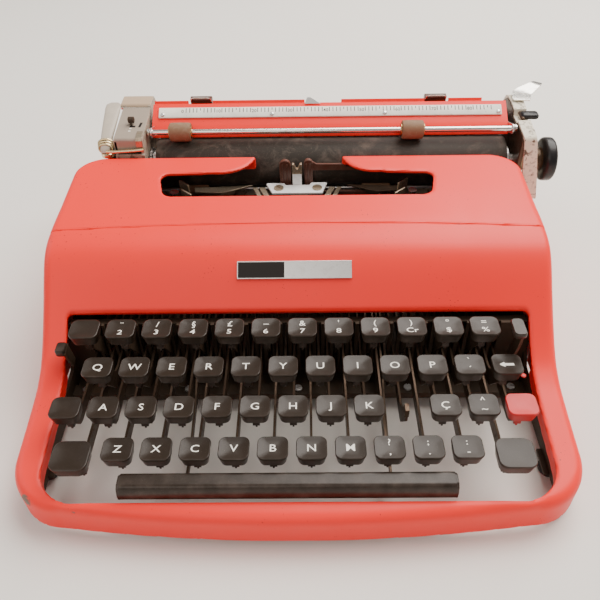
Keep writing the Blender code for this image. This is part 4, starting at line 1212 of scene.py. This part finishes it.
def build_carriage_levers():
    """Return lever, selector, release levers and margin stops."""
    path = ((-132.0, 207.2, 88.8, 5.0, 2.6), (-132.0, 208.6, 90.8, 6.8, 3.6), (-132.0, 213.0, 93.2, 7.8, 3.9),
            (-131.9, 220.0, 96.0, 8.6, 3.8), (-131.8, 229.0, 98.8, 9.6, 3.6),
            (-131.6, 238.0, 101.7, 10.5, 3.4),
            (-131.6, 244.0, 103.5, 11.0, 3.0), (-131.6, 248.0, 104.3, 10.4, 2.4),
            (-131.6, 251.0, 104.2, 6.6, 1.2))
    rings = []
    for i, (x, y, z, wide, deep) in enumerate(path):
        before = path[max(i - 1, 0)]
        after = path[min(i + 1, len(path) - 1)]
        along = (Vector(after[:3]) - Vector(before[:3])).normalized()
        out = Vector((0, -along.z, along.y)).normalized()
        ring = []
        for k in range(20):
            turn = 2 * math.pi * k / 20
            c, s = math.cos(turn), math.sin(turn)
            flat = math.copysign(abs(c) ** 0.75, c) * wide / 2
            tall = math.copysign(abs(s) ** 0.75, s) * deep / 2
            ring.append(tuple(Vector((x + flat, y, z)) + out * tall))
        rings.append(ring)
    piece("return_lever_arm", loft(rings), "return_lever", LEVER_GREY, ["return_lever"])
    hub = lathe("Z", (-131.0, 209.0), [(3.4, 85.6), (4.4, 86.2), (4.4, 88.2), (3.6, 88.8)], 28)
    curls = []
    for k in range(3):
        loop = [(-131.9 + (4.6 + 0.3 * k) * math.cos(a), 209.4 + 1.5 * k + 0.9 * math.sin(a),
                 91.2 + 0.9 * k + (3.0 + 0.2 * k) * math.sin(a)) for a in (2 * math.pi * j / 24 for j in range(25))]
        curls.append(wire(loop, 0.75))
    piece("return_lever_hub", joined(hub, *curls), "return_lever", LINK_BRASS)
    pin = lathe("X", (225.4, 104.2), [(1.4, -117.2), (2.2, -116.8), (2.2, -113.2), (1.4, -112.8)], 24)
    stalk = prism("X", strip([(222.8, 101.4), (224.8, 103.6)], 1.4), -115.8, -114.2)
    piece("selector_pin", joined(pin, stalk), "line_space_lever", DARK_STEEL,
          ["line_space_lever"])
    path = ((160.4, 246.8, 104.9, 5.8), (160.6, 249.0, 105.05, 6.4), (161.2, 253.0, 105.2, 6.6),
            (162.6, 257.0, 105.3, 6.6), (165.4, 260.0, 105.6, 6.4), (169.0, 262.6, 106.4, 5.6),
            (172.6, 265.0, 107.4, 4.6), (175.6, 267.6, 107.9, 3.8), (177.2, 270.0, 107.3, 3.2))
    rings = []
    for i, (x, y, z, half) in enumerate(path):
        before = Vector(path[max(i - 1, 0)][:3])
        after = Vector(path[min(i + 1, len(path) - 1)][:3])
        along = (after - before).normalized()
        side = along.cross(Vector((0, 0, 1))).normalized()
        up = side.cross(along)
        middle = Vector((x, y, z))
        rings.append([tuple(middle + side * a + up * b) for a, b in
                      ((-half, -0.5), (half, -0.5), (half, 0.5), (-half, 0.5))])
    piece("paper_release_tip", loft(rings), "paper_release_lever", CHROME,
          ["paper_release_lever"], 0.2)
    rings = []
    for x, grow in ((156.6, -1.6), (157.2, -0.5), (158.4, 0.0), (167.2, 0.0), (168.4, -0.5), (169.0, -1.6)):
        rings.append([(x, 232.5 + (3.9 + grow) * math.copysign(abs(math.cos(a)) ** 0.6, math.cos(a)),
                       100.8 + (2.0 + grow * 0.8) * math.copysign(abs(math.sin(a)) ** 0.6, math.sin(a)))
                      for a in (2 * math.pi * k / 24 for k in range(24))])
    piece("carriage_release_tip", loft(rings), "carriage_release_lever", KNOB_PLASTIC,
          ["carriage_release_lever"])
    arm = lathe("Y", (157.5, 100.2), [(1.0, 227.4), (1.3, 227.8), (1.3, 237.2), (1.0, 237.6)], 16)
    piece("carriage_release_hinge_pin", arm, "carriage_release_lever", LEVER_STEEL)
    for side, x in (("left", -69.0), ("right", 99.5)):
        name = "margin_stop_" + side
        outline = [(251.4, 93.4), (256.2, 93.4), (256.2, 103.0)] + arc((253.4, 104.6), 2.8, 0, 120, 5)
        outline += [(250.0, 107.2), (249.8, 106.2), (251.4, 105.2)]
        piece(name + "_slide", prism("X", outline, x - 7.8, x + 7.8), name, GUIDE_BROWN,
              [name], 0.8)
        clip = wire([(x - 7.2, 250.2, 105.2), (x - 6.8, 250.0, 107.4), (x - 4.8, 249.9, 108.2),
                     (x + 4.8, 249.9, 108.2), (x + 6.8, 250.0, 107.4), (x + 7.2, 250.2, 105.2)], 0.5)
        piece(name + "_clip", clip, name, CHROME)


# Type basket and ribbon


BASKET_X = 1.5
BASKET_Y = 192.0


def fan(radius, angle):
    """A point (x, y) round the type segment's centre, 0 degrees towards the keys."""
    turn = math.radians(angle)
    return BASKET_X + radius * math.sin(turn), BASKET_Y - radius * math.cos(turn)


def sector(inner, outer, start, end, low, high, steps=28):
    outline = [fan(outer, start + (end - start) * i / steps) for i in range(steps + 1)]
    outline += [fan(inner, end + (start - end) * i / steps) for i in range(steps + 1)]
    return prism("Z", outline, low, high)


def build_basket():
    """The type segment with its plates, arms and ring of type bars."""
    hub = sector(6.0, 22.0, -90, 90, 44.0, 57.0, 48)
    post = box((BASKET_X - 6.0, BASKET_X + 6.0), (184.0, 192.0), (44.0, 67.0))
    piece("segment_body", joined(hub, post), "type_basket", DARK_STEEL, ["type_segment"], 0.5)
    plate = [(-17.4, 187.5), (17.0, 187.5), (20.6, 199.6), (19.6, 200.4), (9.6, 200.3), (8.2, 197.4),
             (-8.0, 197.2),
             (-9.4, 199.9), (-20.8, 199.9), (-21.8, 198.8)]
    # The face plate's pale colour is a painted reflection
    piece("segment_face_plate", prism("Z", plate, 66.6, 68.2), "type_basket", PAINTED_REFLECTION_PLATE,
          bevel=0.3)
    for side, x, turn in (("left", -13.0, 135), ("right", 13.6, 0)):
        piece(f"face_plate_screw_{side}", screw("Z", (x, 193.2), 68.2, 1, 3.4, 0.7, turn), "type_basket",
              TAN_STEEL)
    # The tongue's pale colour is a painted reflection
    tongue = prism("Y", [(-3.4, 66.8), (3.0, 66.8), (3.0, 77.4), (-3.4, 77.4)], 197.2, 199.0)
    piece("type_guide_tongue", tongue, "type_basket", PAINTED_REFLECTION_PLATE, bevel=0.3)
    vee = [(-3.7, 77.0), (3.1, 77.0), (3.1, 84.4), (1.7, 84.4), (0.6, 81.6), (-0.3, 80.6), (-1.2, 81.6),
           (-2.3, 84.4),
           (-3.7, 84.4)]
    piece("type_guide_vee", prism("Y", vee, 196.8, 199.8), "type_basket", TAN_STEEL, bevel=0.3)
    strips = []
    for sign in (-1, 1):
        for a, b in ((22.6, 26.8), (28.0, 31.4)):
            outline = [(sign * (a - 3.6) - 0.4, 188.6), (sign * (b - 3.6) - 0.4, 189.4),
                       (sign * b - 0.4, 199.0),
                       (sign * a - 0.4, 199.6)]
            strips.append(prism("Z", outline, 63.8, 65.2))
    piece("segment_side_strips", joined(*strips), "type_basket", TAN_STEEL, bevel=0.3)
    for side, start, end in (("left", -86, -40), ("right", 40, 86)):
        piece(f"segment_cover_{side}", sector(23.6, 34.0, start, end, 58.6, 60.0), "type_basket", TAN_STEEL,
              bevel=0.35)
        piece(f"segment_rest_{side}", sector(36.0, 47.0, start + 4, end, 56.6, 58.0), "type_basket",
              TAN_STEEL,
              bevel=0.35)
    # The right arm is the left one mirrored; its dark steel instead of tan is painted shade
    for side, sign, look in (("left", -1, TAN_STEEL), ("right", 1, LEVER_STEEL)):
        bar = [(33.0, 204.6), (46.0, 198.6), (55.0, 195.4), (73.6, 196.6), (74.6, 202.0), (56.6, 202.6),
               (46.0, 203.4)]
        plate = [(BASKET_X + sign * a, b) for a, b in bar]
        arm = prism("Z", plate, 62.4, 63.8)
        crease = ((46.0, 198.4), (55.0, 195.2), (55.4, 196.2), (46.2, 199.4))
        fold = prism("Z", [(BASKET_X + sign * a, b) for a, b in crease], 60.4, 63.6)
        piece(f"basket_arm_{side}", joined(arm, fold), "type_basket", look, bevel=0.3)
    blades, slugs = [], []
    for i in range(43):
        angle = -84.0 + 4.0 * i
        turn = Matrix.Translation((BASKET_X, BASKET_Y, 0)) @ Matrix.Rotation(math.radians(angle), 4, "Z")
        blade = prism("X", [(-23.0, 50.0), (-23.0, 56.0), (-30.0, 56.4), (-66.0, 51.6), (-72.0, 51.4),
                            (-72.0, 47.4),
                            (-64.0, 47.0), (-30.0, 50.4)], -0.45, 0.45)
        blade.transform(turn)
        slug = box((-1.35, 1.35), (-76.4, -71.6), (45.0, 52.6))
        slug.transform(turn)
        blades.append(blade)
        slugs.append(slug)
    piece("type_bar_blades", joined(*blades), "type_basket", LEVER_STEEL, ["type_bars"],
          smooth=False)
    piece("type_slugs", joined(*slugs), "type_basket", NICKEL, bevel=0.3)
    piece("type_bar_rest", sector(60.0, 68.0, -88, 88, 43.6, 45.6, 40), "type_basket", DARK_STEEL,
          bevel=0.4)


def build_ribbon():
    """The vibrator with its two fingers, the ribbon guides and the spools."""
    fingers, ridges = [], []
    for x, half, top in ((-8.5, 4.0, 85.2), (7.6, 3.1, 85.7)):
        outline = [(x - half + 0.9, 64.0), (x + half, 64.0), (x + half, top - half)]
        outline += arc((x, top - half), half, 0, 180, 10) + [(x - half, 76.0)]
        fingers.append(prism("Y", outline, 200.6, 203.8))
        for shift in (-0.45, 0.35):
            ridge = strip([(x + shift * half + 0.3, 66.5), (x + shift * half, 75.0),
                           (x + shift * half, top - 2.6)], 1.0)
            ridges.append(prism("Y", ridge, 199.7, 201.0))
    stem = [box((-11.8, -5.0), (200.8, 203.0), (57.0, 65.0)), box((4.8, 10.4), (200.8, 203.0), (57.0, 65.0))]
    piece("ribbon_fingers", joined(*fingers, *stem), "ribbon_vibrator", GUIDE_BROWN,
          ["ribbon_vibrator"], 1.1, segments=3)
    piece("ribbon_finger_ridges", joined(*ridges), "ribbon_vibrator", GUIDE_BROWN, bevel=0.35)
    arm = prism("Y", [(9.4, 77.2), (42.0, 77.2), (42.0, 82.0), (13.0, 82.3), (11.0, 83.8), (9.4, 84.2)],
                201.0, 202.8)
    yoke = box((-12.4, 58.0), (200.4, 202.6), (56.4, 60.6))
    piece("ribbon_vibrator_yoke", joined(arm, yoke), "ribbon_vibrator", GUIDE_BROWN,
          bevel=0.4)
    for side, x, sign in (("left", -76.5, 1), ("right", 71.0, -1)):
        base = [(x - sign * 8.0, 170.0), (x + sign * 3.0, 168.0), (x + sign * 8.5, 178.0),
                (x + sign * 3.0, 191.0),
                (x - sign * 3.0, 190.0)]
        plate = prism("Z", base if sign > 0 else base[::-1], 62.0, 63.4)
        fork = []
        for shift in (0.0, 8.6):
            a, b = (x - sign * (3.4 - shift * 0.3), 188.0 - shift), (x + sign * (3.6 + shift * 0.3),
                                                                     181.6 - shift)
            along = (Vector(b) - Vector(a)).normalized()
            out = Vector((-along.y, along.x)) * 0.6
            outline = [tuple(Vector(a) + out), tuple(Vector(b) + out), tuple(Vector(b) - out),
                       tuple(Vector(a) - out)]
            fork.append(prism("Z", outline, 62.6, 79.0 - shift * 0.2))
        piece(f"ribbon_guide_{side}", joined(plate, *fork), "frame", TAN_STEEL, bevel=0.3)
        roller = lathe("Z", (x - sign * 5.4, 176.0), [(2.2, 63.0), (2.2, 76.0), (3.0, 76.4), (3.0, 77.4)], 24)
        piece(f"ribbon_guide_roller_{side}", roller, "frame", CHROME)
        name = "ribbon_spool_" + side
        centre = (-108.0 if side == "left" else 108.0, 164.0)
        reel = [(20.4, 60.0), (21.0, 60.3), (21.0, 61.0), (20.4, 61.2), (7.0, 61.2), (7.0, 74.8),
                (20.4, 74.8),
                (21.0, 75.0), (21.0, 75.7), (20.4, 76.0), (6.0, 76.0), (5.0, 75.0), (3.0, 75.0)]
        holes = []
        for i in range(3):
            turn = 2 * math.pi * i / 3
            holes.append(lathe("Z", (centre[0] + 4.0 * math.cos(turn), centre[1] + 4.0 * math.sin(turn)),
                               [(0.9, 75.0), (0.9, 77.6), (0.5, 78.0)], 14))
        piece(name + "_reel", joined(lathe("Z", centre, reel, 64), *holes), name, DARK_STEEL,
              [name])
        wound = [(15.6, 61.4), (16.0, 61.7), (16.0, 74.3), (15.6, 74.6)]
        piece(name + "_cloth", lathe("Z", centre, wound, 64), name, RIBBON_CLOTH)


# Floor, lights and camera


def build_stage():
    """A pale floor under a broad window light with two weak fills."""
    bpy.ops.mesh.primitive_plane_add(size=8.0, location=(0, 0, 0))
    floor = bpy.context.object
    floor.name = "floor"
    look = Look("pale_floor", (0.86, 0.82, 0.76), 0.85)
    look.stain(look.ramp(look.noise(3.0, 3.0), 0.3, 0.8, 0.0, 0.25), (0.76, 0.72, 0.67))
    look.bump(look.noise(500.0, 3.0), 0.05)
    floor.data.materials.append(look.material)
    world = bpy.data.worlds.new("studio")
    world.use_nodes = True
    world.node_tree.nodes["Background"].inputs["Color"].default_value = (1.0, 0.97, 0.94, 1.0)
    world.node_tree.nodes["Background"].inputs["Strength"].default_value = 0.42
    bpy.context.scene.world = world
    lamps = (
        ("window_light", (0.55, 0.55, 1.25), (1.3, 1.3), 46.0, (1.0, 0.955, 0.90)),
        ("front_fill", (-0.5, -1.3, 1.2), (1.2, 1.2), 8.0, (1.0, 0.93, 0.85)),
        ("left_fill", (-1.3, 0.2, 0.9), (1.0, 1.0), 6.0, (0.95, 0.97, 1.0)),
    )
    for name, place, size, power, colour in lamps:
        lamp = bpy.data.lights.new(name, "AREA")
        lamp.shape = "RECTANGLE"
        lamp.size, lamp.size_y = size
        lamp.energy = power
        lamp.color = colour
        obj = bpy.data.objects.new(name, lamp)
        bpy.context.scene.collection.objects.link(obj)
        obj.location = place
        obj.rotation_euler = (Vector((0, 0, 0.03)) - Vector(place)).to_track_quat("-Z", "Y").to_euler()


def build_camera():
    """A camera above the front edge that looks down over the keys."""
    lens = bpy.data.cameras.new("camera")
    lens.sensor_width = 36.0
    lens.lens = 39.13
    camera = bpy.data.objects.new("camera", lens)
    bpy.context.scene.collection.objects.link(camera)
    down, yaw, roll = math.radians(42.82), math.radians(-0.677), math.radians(-0.962)
    forward = Vector((math.sin(yaw) * math.cos(down), math.cos(yaw) * math.cos(down), -math.sin(down)))
    flat_right = forward.cross(Vector((0, 0, 1))).normalized()
    flat_up = flat_right.cross(forward)
    right = flat_right * math.cos(roll) + flat_up * math.sin(roll)
    up = flat_up * math.cos(roll) - flat_right * math.sin(roll)
    turn = Matrix((right, up, -forward)).transposed().to_4x4()
    camera.matrix_world = Matrix.Translation(at(4.95, -190.98, 318.45)) @ turn
    bpy.context.scene.camera = camera


build_camera()
build_stage()
build_rows()
build_special_keys()
build_space_bar()
build_chassis()
build_front_levers()
build_paper_table()
build_scale()
build_platen()
build_end_plates()
build_carriage_frame()
build_bail()
build_carriage_levers()
build_basket()
build_ribbon()
build_name_plate()
build_shell()
